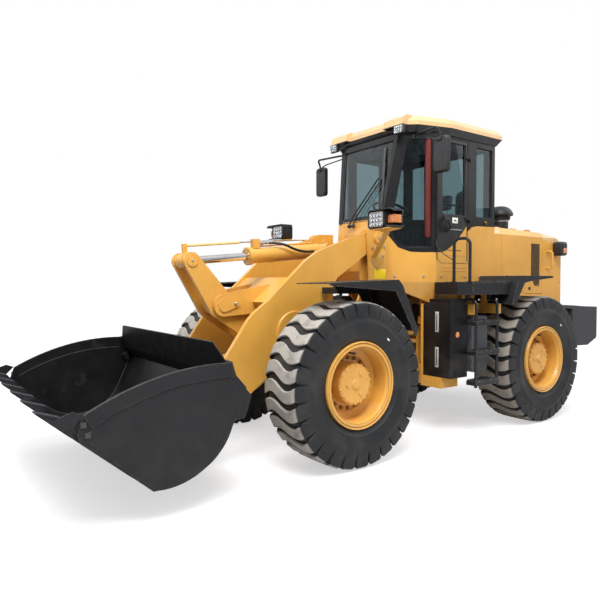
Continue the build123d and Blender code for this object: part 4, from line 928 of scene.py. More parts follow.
@dataclass
class Studio:
    """Pale floor, white surroundings, soft lights and the camera."""

    floor_half: float = 60.0
    floor_lift: float = 0.55
    eye: Point = (4.454, -3.02, 1.496)
    yaw: float = 54.14
    pitch: float = 1.75
    roll: float = -0.09
    lens: float = 33.87
    key: float = 1000.0
    fill: float = 160.0

    def build(self) -> None:
        """Makes the floor, the lights, the world and the camera."""
        data = bpy.data.meshes.new("studio_floor")
        mesh = bmesh.new()
        bmesh.ops.create_grid(mesh, x_segments=1, y_segments=1, size=self.floor_half)
        mesh.to_mesh(data)
        mesh.free()
        floor = bpy.data.objects.new("studio_floor", data)
        bpy.context.scene.collection.objects.link(floor)
        data.materials.append(self.floor_material())
        self.lamp("key_light", Vector((4.0, -3.5, 8.5)), self.key, 5.0)
        self.lamp("fill_light", Vector((-6.0, -7.0, 5.0)), self.fill, 6.0)
        self.lamp("rear_light", Vector((3.0, 8.0, 6.0)), self.fill, 6.0)
        self.surroundings()
        self.camera()

    def lamp(self, name: str, place: Vector, power: float, size: float) -> None:
        """Adds a square soft light aimed at the machine's middle.

        Args:
            name: The lamp's name.
            place: Where it hangs.
            power: Its watts.
            size: Its width.
        """
        data = bpy.data.lights.new(name, "AREA")
        data.energy = power
        data.size = size
        lamp = bpy.data.objects.new(name, data)
        lamp.matrix_world = aim(place, place - Vector((0, 0, 1.0)))
        bpy.context.scene.collection.objects.link(lamp)

    def floor_material(self) -> Material:
        """Returns the floor's material: white to the camera except in shadow.

        Returns:
            The material.
        """
        made = bpy.data.materials.new("Studio floor")
        made.use_nodes = True
        made.node_tree.nodes.clear()
        graph = Graph(made.node_tree)
        shade = graph.add("ShaderNodeBsdfDiffuse", {"Color": (0.55, 0.55, 0.55, 1.0)})
        seen = graph.add("ShaderNodeLightPath").outputs["Is Camera Ray"]
        lift = graph.add(
            "ShaderNodeEmission", {"Color": (1.0, 1.0, 1.0, 1.0), "Strength": graph.times(seen, self.floor_lift)},
        )
        both = graph.add("ShaderNodeAddShader", {0: shade.outputs[0], 1: lift.outputs[0]})
        graph.add("ShaderNodeOutputMaterial", {"Surface": both.outputs[0]})
        return made

    def surroundings(self) -> None:
        """Makes the world: white to the camera, softer and graded in reflections."""
        world = bpy.data.worlds.new("Studio")
        bpy.context.scene.world = world
        world.use_nodes = True
        world.node_tree.nodes.clear()
        graph = Graph(world.node_tree)
        height = graph.axis("Z", graph.add("ShaderNodeTexCoord").outputs["Generated"])
        sky = graph.mix(graph.ramp(height, -0.1, 0.9), (0.3, 0.3, 0.32), (0.95, 0.97, 1.0))
        path = graph.add("ShaderNodeLightPath")
        seen = graph.math("MAXIMUM", path.outputs["Is Camera Ray"], path.outputs["Is Transmission Ray"])
        colour = graph.mix(seen, sky, (1.0, 1.0, 1.0))
        background = graph.add("ShaderNodeBackground", {"Color": colour, "Strength": 1.0})
        graph.add("ShaderNodeOutputWorld", {"Surface": background.outputs[0]})

    def camera(self) -> None:
        """Makes the camera from its eye point and angles."""
        data = bpy.data.cameras.new("camera")
        data.lens = self.lens
        data.sensor_width = 36.0
        data.clip_end = 500.0
        camera = bpy.data.objects.new("camera", data)
        yaw, pitch = math.radians(self.yaw), math.radians(self.pitch)
        level = math.cos(pitch)
        ahead = Vector((-math.sin(yaw) * level, math.cos(yaw) * level, -math.sin(pitch)))
        place = aim(DATUM.at(*self.eye), -ahead)
        camera.matrix_world = place @ Matrix.Rotation(math.radians(self.roll), 4, "Z")
        bpy.context.scene.collection.objects.link(camera)
        bpy.context.scene.camera = camera


# ---- CAD nodes ----


NODE_PAINTS: dict[str, Finish] = {
    # inside its hollow the bucket is drawn near-black as painted shade
    "bucket": BucketPaint(
        "Bucket paint and painted hollow shade", srgb("202022"), 0.45, specular=0.3, hollow=tuple(mm(0, -1330, 520)), wear=0.7,
        bare=srgb("8C8987"), dust=0.05, coat=0.0, peel=0.0012,
    ),
    "cab_door": ZonedPaint(
        "Door paint", YELLOW, 0.34, zones=(Zone(BLACK, "Z", 1.8, start=DATUM.front_axle + 1.46, rise=1.25),),
    ),
    # the pale band along the hood's sloping top is a painted highlight where the shoulder faces up
    "hood": ZonedPaint(
        "Hood paint and painted top highlight", YELLOW, 0.34, zones=(Zone(PALE, "Z", 2.045, start=DATUM.front_axle + 2.6, rise=-0.06),),
    ),
    "cab_roof": ZonedPaint(
        "Roof shell", PALE, 0.36, wear=0.12, zones=(Zone(BLACK, "Z", 3.046, above=False),), under=BLACK,
    ),
    "side_boxes": ZonedPaint(
        "Box paint", BLACK, 0.42, specular=0.25, coat=0.05, bare=srgb("77757A"), zones=(
            Zone(srgb("6D6F72"), "Y", DATUM.front_axle + 1.6), Zone(YELLOW, "X", 0.5915, above=False),
            Zone(YELLOW, "Z", 0.569, above=False),
        ),
    ),
    "decks": ZonedPaint(
        "Deck paint", srgb("1B1B1D"), 0.5, specular=0.25, wear=0.9, wear_width=0.005, bare=srgb("A6A4A2"), dust=0.12,
        zones=(Zone(YELLOW, "Y", DATUM.front_axle + 3.0),),
    ),
    "tilt_rod": PaintedRod("Tilt rod", srgb("DAD9D8"), 0.09, paint=YELLOW, limit=DATUM.front_axle - 0.905),
    "lift_rods": PaintedRod("Lift rods", srgb("DAD9D8"), 0.09, paint=YELLOW, limit=DATUM.front_axle - 0.075),
}


@dataclass
class NodeFinishes:
    """Which finish each CAD node shows where no piece stands for it."""

    by_slot: dict[str, str] = field(default_factory=lambda: {
        "yellow": "yellow", "pale_yellow": "roof", "pin_steel": "pin_steel", "casting": "casting",
        "dark": "dark", "edge_steel": "edge_steel", "chrome": "chrome", "plastic": "plastic",
        "hose": "hose", "roof": "roof", "glass": "glass", "seat": "vinyl",
    })
    by_node: dict[str, str] = field(default_factory=lambda: {
        "front_fenders": "plate", "rear_fenders": "plate", "ladders": "plate", "cab_frame": "trim",
        "crank_pin": "yellow", "front_pins": "yellow", "bucket_pins": "yellow",
    })

    def build(self, frame: dict) -> None:
        """Puts each node's finish on its material slots.
        """
        slots = {part["node"]: part["material_slot"] for part in frame["record"]["subparts"]}
        for name, node in frame["nodes"].items():
            chosen = self.by_node.get(name) or self.by_slot.get(slots.get(name, ""), "yellow")
            made = NODE_PAINTS[name].material() if name in NODE_PAINTS else finish(chosen)
            if not node.data.materials:
                node.data.materials.append(made)
            for index in range(len(node.data.materials)):
                node.data.materials[index] = made
        LOG.info("finished %d CAD nodes", len(frame["nodes"]))


# ---- wheels ----


@dataclass
class Tyre:
    """A loader tyre with wave-shaped lugs across its crown."""

    name: str
    body: str
    centre: Vector
    outward: float
    lugs: int = 28
    radius: float = 0.675
    half_width: float = 0.225
    base_radius: float = 0.645
    lug_half: float = 0.206
    lug_width: float = 0.088
    wave: float = 0.036
    slit: float = 0.021
    steps: int = 14
    walls: tuple[Point, ...] = (
        (0.2125, 0.643, 0.014), (0.2165, 0.606, 0.016), (0.2195, 0.57, 0.012), (0.22, 0.54, 0.004),
    )
    dust: float = 0.75
    dust_colour: Colour = srgb("B9B2A8")
    replaced: str = ""

    def build(self) -> Object:
        """Models the carcass and its lugs and returns the object.

        Returns:
            The tyre's object.
        """
        shape = Shape(self.name)
        PAINTS[self.name] = Rubber(
            f"Rubber {self.name}", srgb("0F1114"), 0.55, axle=tuple(self.centre),
            dust=self.dust, dust_colour=self.dust_colour, tread=self.base_radius + 0.014,
        )
        place = aim(self.centre, Vector((self.outward, 0, 0)))
        self.carcass(shape, place)
        for index in range(self.lugs):
            self.lug(shape, place, math.tau * index / self.lugs)
        self.mark(shape, place)
        return shape.done(self.body, [self.replaced], auto=28.0)

    def carcass(self, shape: Shape, place: Matrix) -> None:
        """Adds the turned body: crown, shoulders, walls and beads.

        Args:
            shape: Takes the parts.
            place: The wheel's own frame.
        """
        b, w = self.base_radius, self.half_width
        half = [
            (0.319, 0.172), (0.33, 0.188), (0.352, 0.178), (0.372, 0.19), (0.4, 0.203), (0.404, 0.2075),
            (0.412, 0.208), (0.416, 0.2065), (0.455, 0.217), (0.49, w - 0.002), (0.497, w), (0.507, w),
            (0.513, w - 0.003), (0.538, 0.2195), (0.546, 0.215), (0.575, 0.207), (0.6, 0.199), (0.622, 0.19),
            (b - 0.008, 0.18), (b, 0.165), (b + 0.002, 0.09),
        ]
        profile = [(r, -x) for r, x in half] + [(b + 0.003, 0.0)] + [(r, x) for r, x in reversed(half)]
        shape.turned(place, profile, self.name, 112)

    def section(self, angle: float, corners: Sequence[Point]) -> list[Vector]:
        """Returns one section of a lug."""
        turns = [angle + offset / self.radius for offset, _, _ in corners]
        return [Vector((r * math.cos(t), r * math.sin(t), x)) for t, (_, r, x) in zip(turns, corners)]

    def crown(self, angle: float, across: float) -> list[Vector]:
        """Returns a lug's section on the crown.

        Args:
            angle: Where the lug stands round the tyre.
            across: From -1 at one shoulder to 1 at the other.

        Returns:
            The section's four corners.
        """
        x = across * self.lug_half
        shift = self.wave * math.sin(across * math.pi)
        half_top = self.lug_width * 0.5 * (1.0 + 0.22 * abs(across) ** 3)
        half_foot = half_top + 0.01
        drop = max(0.0, (abs(across) - 0.82) / 0.18)
        top = self.radius - 0.0002 - 0.012 * drop**2 - 0.004 * across**2
        foot = self.base_radius - 0.004 - 0.028 * drop
        corners = [(-half_foot, foot), (-half_top, top), (half_top, top), (half_foot, foot)]
        return self.section(angle, [(offset + shift, r, x) for offset, r in corners])

    def shoulder(self, angle: float, side: int, reach: float, radius: float, depth: float) -> list[Vector]:
        """Returns a lug's section where it runs down a wall."""
        half_top = 0.5 * (math.tau / self.lugs - self.slit / radius) * self.radius
        offsets = [(-half_top - 0.007, depth), (-half_top, 0.0), (half_top, 0.0), (half_top + 0.007, depth)]
        return self.section(angle, [(offset, radius, side * (reach - sunk)) for offset, sunk in offsets])

    def lug(self, shape: Shape, place: Matrix, angle: float) -> None:
        """Adds one wave lug from shoulder to shoulder, running down both walls.

        Args:
            shape: The tyre's shape.
            place: The wheel's own frame.
            angle: Where the lug stands round the tyre.
        """
        rings = [self.crown(angle, -1 + 2 * k / self.steps) for k in range(self.steps + 1)]
        for wall in self.walls:
            rings.insert(0, self.shoulder(angle, -1, *wall))
        rings += [self.shoulder(angle, 1, *wall) for wall in self.walls]
        with shape.part(self.name, place) as mesh:
            shape.loft(mesh, rings)
            tops = {tuple(point) for section in rings for point in section[1:3]}
            sharp = [e for e in mesh.edges if e.calc_face_angle(0.0) > 0.7]
            ridges = [e for e in sharp if any(min((v.co - Vector(p)).length for p in tops) < 1e-5 for v in e.verts)]
            shape.round_off(mesh, ridges, 0.0035, 1)

    def mark(self, shape: Shape, place: Matrix) -> None:
        """Adds the small blank paint mark on the outer wall."""
        spot = around(place, 0.9, 0.45, 0.2165)
        shape.box(spot, (0.014, 0.03, 0.0015), "white", 0.0004)


@dataclass
class WheelFittings:
    """Bolts, nuts, lock ring, weld beads and valve of one rim."""

    name: str
    body: str
    centre: Vector
    outward: float

    def build(self) -> Object:
        """Models the small parts that sit on the CAD rim.

        Returns:
            The fittings' object.
        """
        shape = Shape(self.name)
        place = aim(self.centre, Vector((self.outward, 0, 0)))
        # the outer nut ring gets the brown-yellow of painted shade on yellow nuts
        self.ring(shape, place, 18, 0.208, 0.03, 0.0135, 0.02, "shaded_nut_yellow")
        self.ring(shape, place, 18, 0.158, 0.1178, 0.01, 0.015, "yellow")
        self.ring(shape, place, 3, 0.094, 0.131, 0.013, 0.013, "yellow")
        shape.turned(place @ shift(0, 0, 0.14), [(0.034, 0), (0.032, 0.004), (0.018, 0.005), (0, 0.005)], "yellow", 24)
        lip = [
            (0.3535, 0.186), (0.3535, 0.1985), (0.3505, 0.204), (0.3445, 0.205), (0.3395, 0.2025), (0.3375, 0.1932),
        ]
        band = [
            (0.3325, 0.1932), (0.3315, 0.1985), (0.3285, 0.2), (0.315, 0.2), (0.311, 0.198), (0.31, 0.1932),
        ]
        shape.turned(place, lip, "yellow", 96)
        shape.turned(place, band, "yellow", 96)
        for radius in (0.335, 0.309):
            shape.turned(
                place,
                [
                    (radius + 0.0026, 0.1925), (radius + 0.002, 0.1938), (radius - 0.002, 0.1938),
                    (radius - 0.0026, 0.1925),
                ],
                "shade", 64,
            )
        bead = [(0.231 + 0.004 * math.cos(t), 0.031 + 0.004 * math.sin(t)) for t in [math.pi * k / 4 for k in range(5)]]
        shape.turned(place, bead, "yellow", 60)
        self.valve(shape, place)
        self.lifting(shape, place)
        return shape.done(self.body)

    def ring(
        self, shape: Shape, place: Matrix, count: int, pitch: float, level: float, radius: float, height: float,
        kind: str,
    ) -> None:
        """Adds a circle of bolt heads."""
        for k in range(count):
            spot = around(place, math.tau * (k + 0.5) / count, pitch, level)
            shape.bolt(spot, radius, height, kind)

    def valve(self, shape: Shape, place: Matrix) -> None:
        """Adds the bent valve stem with its cap.

        Args:
            shape: Takes the parts.
            place: The wheel's own frame.
        """
        turn = place @ Matrix.Rotation(1.75 if self.outward > 0 else -1.75, 4, "Z")
        path = [turn @ Vector(p) for p in ((0.3, 0, 0.05), (0.262, 0, 0.09), (0.262, 0, 0.16))]
        shape.tube(path, 0.0065, "plastic", 10, 0.02)
        shape.turned(
            turn @ shift(0.262, 0, 0.158), [(0.009, 0), (0.009, 0.018), (0.005, 0.022), (0, 0.022)], "plastic", 12,
        )

    def lifting(self, shape: Shape, place: Matrix) -> None:
        """Adds a drain plug and a sight plug on the hub face."""
        for angle, radius in ((0.4, 0.011), (2.7, 0.009)):
            spot = around(place, angle, 0.118, 0.1312)
            shape.turned(spot, [(radius, -0.002), (radius, 0.006), (radius * 0.6, 0.007), (0, 0.007)], "yellow", 18)


# ---- linkage ----


@dataclass
class PinFittings:
    """Caps, keepers, bolts and grease nipples at the linkage pins."""

    boom_pin: Point = (794, 1923)
    bucket_pin: Point = (-1050, 400)
    crank_pin: Point = (-724, 1304)
    lift_pin: Point = (-170, 1060)
    crank_ends: tuple[Point, ...] = ((-997, 1681), (-189, 889))
    cap: float = 0.034
    head_face: float = 475.2
    tower_face: float = 461.2
    boom_face: float = 433.2

    def build(self) -> None:
        """Models the fittings of each body's pins."""
        self.tower()
        self.arm()
        self.crank()
        self.bucket()

    def tower(self) -> None:
        """Adds bolts on the boom pins' heads and keepers on the towers."""
        shape = Shape("tower_fittings")
        for side in SIDES:
            axis = Axis.out(side)
            face = side * self.head_face
            y, z = self.boom_pin
            shape.turned(
                axis.turn(mm(face, y, z)), [(0.046, 0), (0.045, 0.003), (0.02, 0.0035), (0, 0.0035)], "yellow", 36,
            )
            shape.bolt(axis.turn(mm(face + side * 3, y, z)), 0.01, 0.008)
            for dy, dz in ((-70, -95), (10, -118), (84, -80)):
                shape.bolt(axis.turn(mm(side * self.tower_face, y + dy, z + dz)), 0.011, 0.01)
            sign = mm(side * 462.2, 826, 1580)
            shape.box(sign, (0.0018, 0.15, 0.095), "sign", 0.0006)
        shape.done("front")

    def arm(self) -> None:
        """Adds the arm's lift-pin caps, crank-pin keepers and weld beads."""
        shape = Shape("arm_fittings")
        for side in SIDES:
            axis = Axis.out(side)
            y, z = self.lift_pin
            shape.turned(
                axis.turn(mm(side * 453.2, y, z)), [(0.06, 0), (0.059, 0.006), (0.05, 0.008), (0, 0.008)], "yellow",
                36,
            )
            shape.bolt(axis.turn(mm(side * 461, y, z)), 0.012, 0.008)
            self.weld_ring(shape, axis.turn(mm(side * self.boom_face, y, z)), 0.186)
            y, z = self.crank_pin
            spot = mm(side * 187.2, y + 105 * 0.993, z + 105 * 0.117)
            shape.bolt(axis.turn(spot), 0.014, 0.013)
            y, z = self.bucket_pin
            shape.turned(
                axis.turn(mm(side * self.boom_face, y + 60, z + 130)),
                [(0.01, 0), (0.01, 0.004), (0.004, 0.012), (0, 0.013)], "bolt", 12,
            )
        shape.done("arm")

    def weld_ring(self, shape: Shape, place: Matrix, radius: float, size: float = 0.006) -> None:
        """Adds a weld bead round a boss."""
        profile = [(radius + size, 0.0), (radius + 0.6 * size, 0.6 * size), (radius, size)]
        shape.turned(place, profile, "yellow", 72)

    def crank(self) -> None:
        """Adds end caps on the bellcrank's pins."""
        shape = Shape("crank_fittings")
        radius = self.cap
        for y, z in self.crank_ends:
            for side in SIDES:
                axis = Axis.out(side)
                spot = axis.turn(mm(side * 136.5, y, z))
                shape.turned(spot, [(radius, -0.004), (radius, 0.001), (radius * 0.9, 0.004), (0, 0.004)], "yellow", 30)
                shape.bolt(axis.turn(mm(side * 140.5, y, z)), 0.008, 0.007)
        shape.done("bellcrank")

    def bucket(self) -> None:
        """Adds bolts on the bucket pins' heads."""
        shape = Shape("bucket_pin_fittings")
        for side in SIDES:
            axis = Axis.out(side)
            shape.bolt(axis.turn(mm(side * 486, *self.bucket_pin)), 0.012, 0.01)
        shape.done("bucket")


# ---- lamps and mirrors ----


@dataclass
class Lamps:
    """Head lamps on their brackets, roof lamps, indicators and tail lamps."""

    head_x: float = 786.0
    head_z: float = 2055.0
    tray_z: float = 1968.0
    roof_x: float = 501.0
    roof_z: float = 3000.0

    def build(self) -> None:
        """Models the lamps of the front frame and of the cab and hood."""
        front = Shape("head_lamps_dressed")
        rear = Shape("roof_and_tail_lamps")
        for side in SIDES:
            self.bracket(front, side)
            self.head(front, side)
            self.roof(rear, side)
            self.tail(rear, side)
        front.done("front", ["head_lamps"])
        rear.done("chassis", ["lamps"])

    def grid(self, shape: Shape, centre: Vector, width: float, height: float, columns: int, rows: int) -> None:
        """Adds a rounded lens facing ahead, with a reflector for each light chip.

        Args:
            shape: Takes the parts.
            centre: Middle of the lens.
            width: Its width.
            height: Its height.
            columns: Light chips across.
            rows: Light chips up.
        """
        with shape.part("pin_steel", Matrix.Translation(centre)) as mesh:
            shape.cube(mesh, (width, 0.012, height))
            corners = shape.deep_edges(mesh, 0.005)
            shape.round_off(mesh, corners, 0.16 * height, 4)
        for i in range(columns):
            for k in range(rows):
                x = centre.x + width * ((i + 0.5) / columns - 0.5) * 0.9
                z = centre.z + height * ((k + 0.5) / rows - 0.5) * 0.9
                r = 0.44 * min(width / columns, height / rows)
                spot = Axis.AHEAD.turn(Vector((x, centre.y - 0.0062, z)))
                shape.turned(
                    spot,
                    [(r, 0), (0.92 * r, 0.005), (0.7 * r, 0.002), (0.3 * r, 0.001), (0.22 * r, 0.004), (0, 0.005)],
                    "lens", 14,
                )
                if i < columns - 1:
                    shape.box(
                        Vector((x + 0.45 * width / columns, centre.y - 0.008, z)),
                        (0.0022, 0.004, 0.85 * height / rows), "plastic",
                    )

    def bracket(self, shape: Shape, side: int) -> None:
        """Adds the yellow foot, flare and tray, with their screws.

        Args:
            shape: Takes the parts.
            side: 1 left, -1 right.
        """
        foot = [(690, 1780), (880, 1780), (870, 1720), (785, 1610), (700, 1720)]
        points = [mm(side * 461.2, y, z) for y, z in foot]
        shape.plate(points, Vector((side * 0.008, 0, 0)), "yellow", 0.0015)
        ramp = [mm(side * x, y, z) for x, z in ((466, 1740), (640, 1966)) for y in (700, 770)]
        shape.plate([ramp[0], ramp[1], ramp[3], ramp[2]], Vector((side * 0.006, 0, -0.005)), "yellow", 0.001)
        tray = [(600, 700), (600, 770), (960, 600), (960, 462), (700, 462), (660, 640)]
        shape.plate([mm(side * x, y, self.tray_z) for x, y in tray], Vector((0, 0, 0.007)), "yellow", 0.0015)
        for y, z in ((740, 1752), (852, 1750), (785, 1640)):
            spot = Axis.out(side).turn(mm(side * 469.2, y, z))
            shape.bolt(spot, 0.01, 0.009)

    def head(self, shape: Shape, side: int) -> None:
        """Adds one head lamp: hollow housing, lens, visor and indicator.

        Args:
            shape: Takes the parts.
            side: 1 left, -1 right.
        """
        middle = mm(side * self.head_x, 528, self.head_z)
        with shape.part("plastic", Matrix.Translation(middle)) as mesh:
            shape.cube(mesh, (0.206, 0.14, 0.16))
            deep = shape.deep_edges(mesh, 0.05)
            shape.round_off(mesh, deep, 0.026, 4)
            front = [f for f in mesh.faces if f.normal.y < -0.9]
            bmesh.ops.inset_region(mesh, faces=front, thickness=0.009, depth=0.0)
            bmesh.ops.translate(mesh, verts=list({v for f in front for v in f.verts}), vec=(0, 0.016, 0))
            back = [e for e in mesh.edges if all(v.co.y > 0.069 for v in e.verts)]
            shape.round_off(mesh, back, 0.012, 3)
        self.grid(shape, mm(side * self.head_x, 468, self.head_z), 0.176, 0.13, 4, 3)
        hood = [(690, 2136), (700, 2141), (965, 2141), (1000, 2122), (1000, 2115), (965, 2133), (700, 2133)]
        shape.plate([mm(side * x, 452, z) for x, z in hood], Vector((0, 0.146, 0)), "plastic", 0.0015)
        lip = [(885, 1976), (1000, 1976), (1000, 1990), (885, 2000)]
        shape.plate([mm(side * x, 470, z) for x, z in lip], Vector((0, 0.126, 0)), "plastic", 0.0015)
        shape.box(mm(side * 932, 594, 2055), (0.094, 0.008, 0.15), "plastic", 0.002)
        shape.box(mm(side * 936, 542, 2052), (0.088, 0.092, 0.078), "amber", 0.012, 3)
        for k in range(4):
            shape.box(mm(side * 936, 542, 2027 + 17 * k), (0.0895, 0.0935, 0.003), "amber", 0.001)

    def roof(self, shape: Shape, side: int) -> None:
        """Adds one work lamp under the roof's horn."""
        shape.box(mm(side * self.roof_x, 1052, self.roof_z), (0.122, 0.036, 0.086), "plastic", 0.008, 3)
        shape.box(mm(side * self.roof_x, 1062, 3030), (0.03, 0.03, 0.03), "plastic", 0.003)
        self.grid(shape, mm(side * self.roof_x, 1030, self.roof_z), 0.112, 0.076, 4, 3)

    def tail(self, shape: Shape, side: int) -> None:
        """Adds the rounded tail lamp with its side and rear lenses.

        Args:
            shape: Takes the parts.
            side: 1 left, -1 right.
        """
        with shape.part("plastic", Matrix.Translation(mm(side * 715, 3602, 1905))) as mesh:
            shape.cube(mesh, (0.13, 0.135, 0.17))
            shape.round_off(mesh, mesh.edges[:], 0.03, 5)
        for dz, kind in ((40, "red"), (0, "amber"), (-40, "red")):
            shape.box(mm(side * 715, 3668, 1905 + dz), (0.08, 0.01, 0.034), kind, 0.004)
        shape.box(mm(side * 779, 3600, 1880), (0.01, 0.066, 0.06), "amber", 0.004)


@dataclass
class Mirrors:
    """Rounded mirror heads with their glass on bent arms."""

    half: Point = (0.086, 0.026, 0.168)

    def build(self) -> None:
        """Models a mirror on each side."""
        shape = Shape("mirrors_dressed")
        for side in SIDES:
            centre = mm(side * 910, 1180, 2700)
            with shape.part("plastic", Matrix.Translation(centre)) as mesh:
                shape.cube(mesh, [2 * h for h in self.half])
                upright = shape.deep_edges(mesh, 0.01)
                shape.round_off(mesh, upright, 0.036, 5)
                front = [f for f in mesh.faces if f.normal.y < -0.9]
                shape.round_off(mesh, {e for f in front for e in f.edges}, 0.02, 4)
                back = [f for f in mesh.faces if f.normal.y > 0.9]
                bmesh.ops.inset_region(mesh, faces=back, thickness=0.008, depth=-0.003)
            shape.box(centre + Vector((0, self.half[1] - 0.0015, 0)), (0.144, 0.002, 0.306), "mirror", 0.0006)
            foot = mm(side * 532, 1235, 2955)
            away = facet(side)
            bend = [mm(side * x, y, z) for x, y, z in ((900, 1120, 2950), (910, 1150, 2905), (910, 1168, 2850))]
            high = [foot + away * 0.004, foot + away * 0.06, *bend]
            shape.tube(high, 0.011, "plastic", 12, 0.05)
            low = [foot + away * 0.004 + Vector((0, 0, -0.03)), mm(side * 780, 1120, 2870), mm(side * 900, 1140, 2830)]
            shape.tube(low, 0.007, "plastic", 8, 0.04)
            shape.turned(
                aim(foot, away), [(0, 0), (0.034, 0), (0.034, 0.01), (0.026, 0.014), (0, 0.014)], "plastic", 24,
            )
            shape.box(mm(side * 910, 1150, 2842), (0.05, 0.016, 0.04), "plastic", 0.005)
        shape.done("chassis", ["mirrors"])


# ---- cab ----


@dataclass
class Seals:
    """Rubber round every pane, drawn along the panes' own edges."""

    radius: float = 0.0075
    middle: Point = (0.0, 1.7, 2.4)

    def build(self) -> None:
        """Models the rubbers of the fixed panes and of the door's pane."""
        for node, body in (("cab_glass", "chassis"), ("cab_door_glass", "door")):
            shape = Shape(f"{node}_seals")
            for loop in self.loops(bpy.data.objects[node]):
                self.ring(shape, loop)
            shape.done(body)

    def loops(self, node: Object) -> list[list[Vector]]:
        """Returns the corner loops of the panes' outer faces.

        Args:
            node: The panes' CAD node.

        Returns:
            The corners of each outer face.
        """
        mesh = bmesh.new()
        mesh.from_mesh(node.data)
        bmesh.ops.remove_doubles(mesh, verts=mesh.verts[:], dist=1e-5)
        bmesh.ops.dissolve_limit(mesh, angle_limit=math.radians(1), verts=mesh.verts[:], edges=mesh.edges[:])
        middle = DATUM.at(*self.middle)
        found = []
        for face in mesh.faces:
            away = face.calc_center_median() - middle
            if face.calc_area() > 0.05 and away.dot(face.normal) > 0:
                found.append([v.co.copy() for v in face.verts])
        mesh.free()
        return found

    def ring(self, shape: Shape, loop: list[Vector]) -> None:
        """Adds a closed rubber strip along one loop.

        Args:
            shape: Takes the parts.
            loop: The loop's corners.
        """
        with shape.part("seal") as mesh:
            loops = []
            count = len(loop)
            normal = sum(((b - a).cross(c - b) for a, b, c in zip(loop, loop[1:], loop[2:])), Vector()).normalized()
            for i, point in enumerate(loop):
                before, after = loop[i - 1], loop[(i + 1) % count]
                along = ((after - point).normalized() + (point - before).normalized()).normalized()
                side = along.cross(normal).normalized()
                turn = Matrix((side, normal, along)).transposed().to_4x4()
                made = bmesh.ops.create_circle(
                    mesh, cap_ends=False, segments=6, radius=self.radius, matrix=Matrix.Translation(point) @ turn,
                )
                loops.append(list({edge for vert in made["verts"] for edge in vert.link_edges}))
            for a, b in zip(loops, loops[1:] + loops[:1]):
                bmesh.ops.bridge_loops(mesh, edges=a + b)


@dataclass
class Wiper:
    """Twin wiper arms up the windscreen with a long blade."""

    lean: float = 0.1515

    def screen(self, x: float, z: float, off: float = 0.02) -> Vector:
        """Returns a point over the windscreen at a height."""
        return DATUM.at(x, 1.052 + (z - 2.575) * self.lean - off, z)

    def build(self) -> None:
        """Models pivots, arms and blade."""
        shape = Shape("wiper")
        feet = [mm(-112, 922, 2092), mm(-52, 922, 2092)]
        tops = [self.screen(0.235, 2.555, 0.034), self.screen(0.275, 2.535, 0.03)]
        for foot, top in zip(feet, tops):
            mid = self.screen(foot.x + 0.03, 2.19, 0.045)
            shape.tube([foot, mid, top], 0.0075, "plastic", 8, 0.04)
            shape.turned(
                Axis.AHEAD.turn(foot + Vector((0, 0.012, 0))),
                [(0.02, -0.004), (0.02, 0.018), (0.01, 0.028), (0, 0.028)], "plastic", 20,
            )
        low, high = self.screen(0.318, 2.26, 0.012), self.screen(0.262, 2.87, 0.012)
        shape.tube([low, high], 0.008, "plastic", 6)
        shape.tube([low + Vector((0, -0.012, 0.02)), high + Vector((0, -0.012, -0.02))], 0.005, "plastic", 6)
        shape.tube([tops[0], tops[1], self.screen(0.292, 2.55, 0.016)], 0.008, "plastic", 8)
        shape.done("chassis")


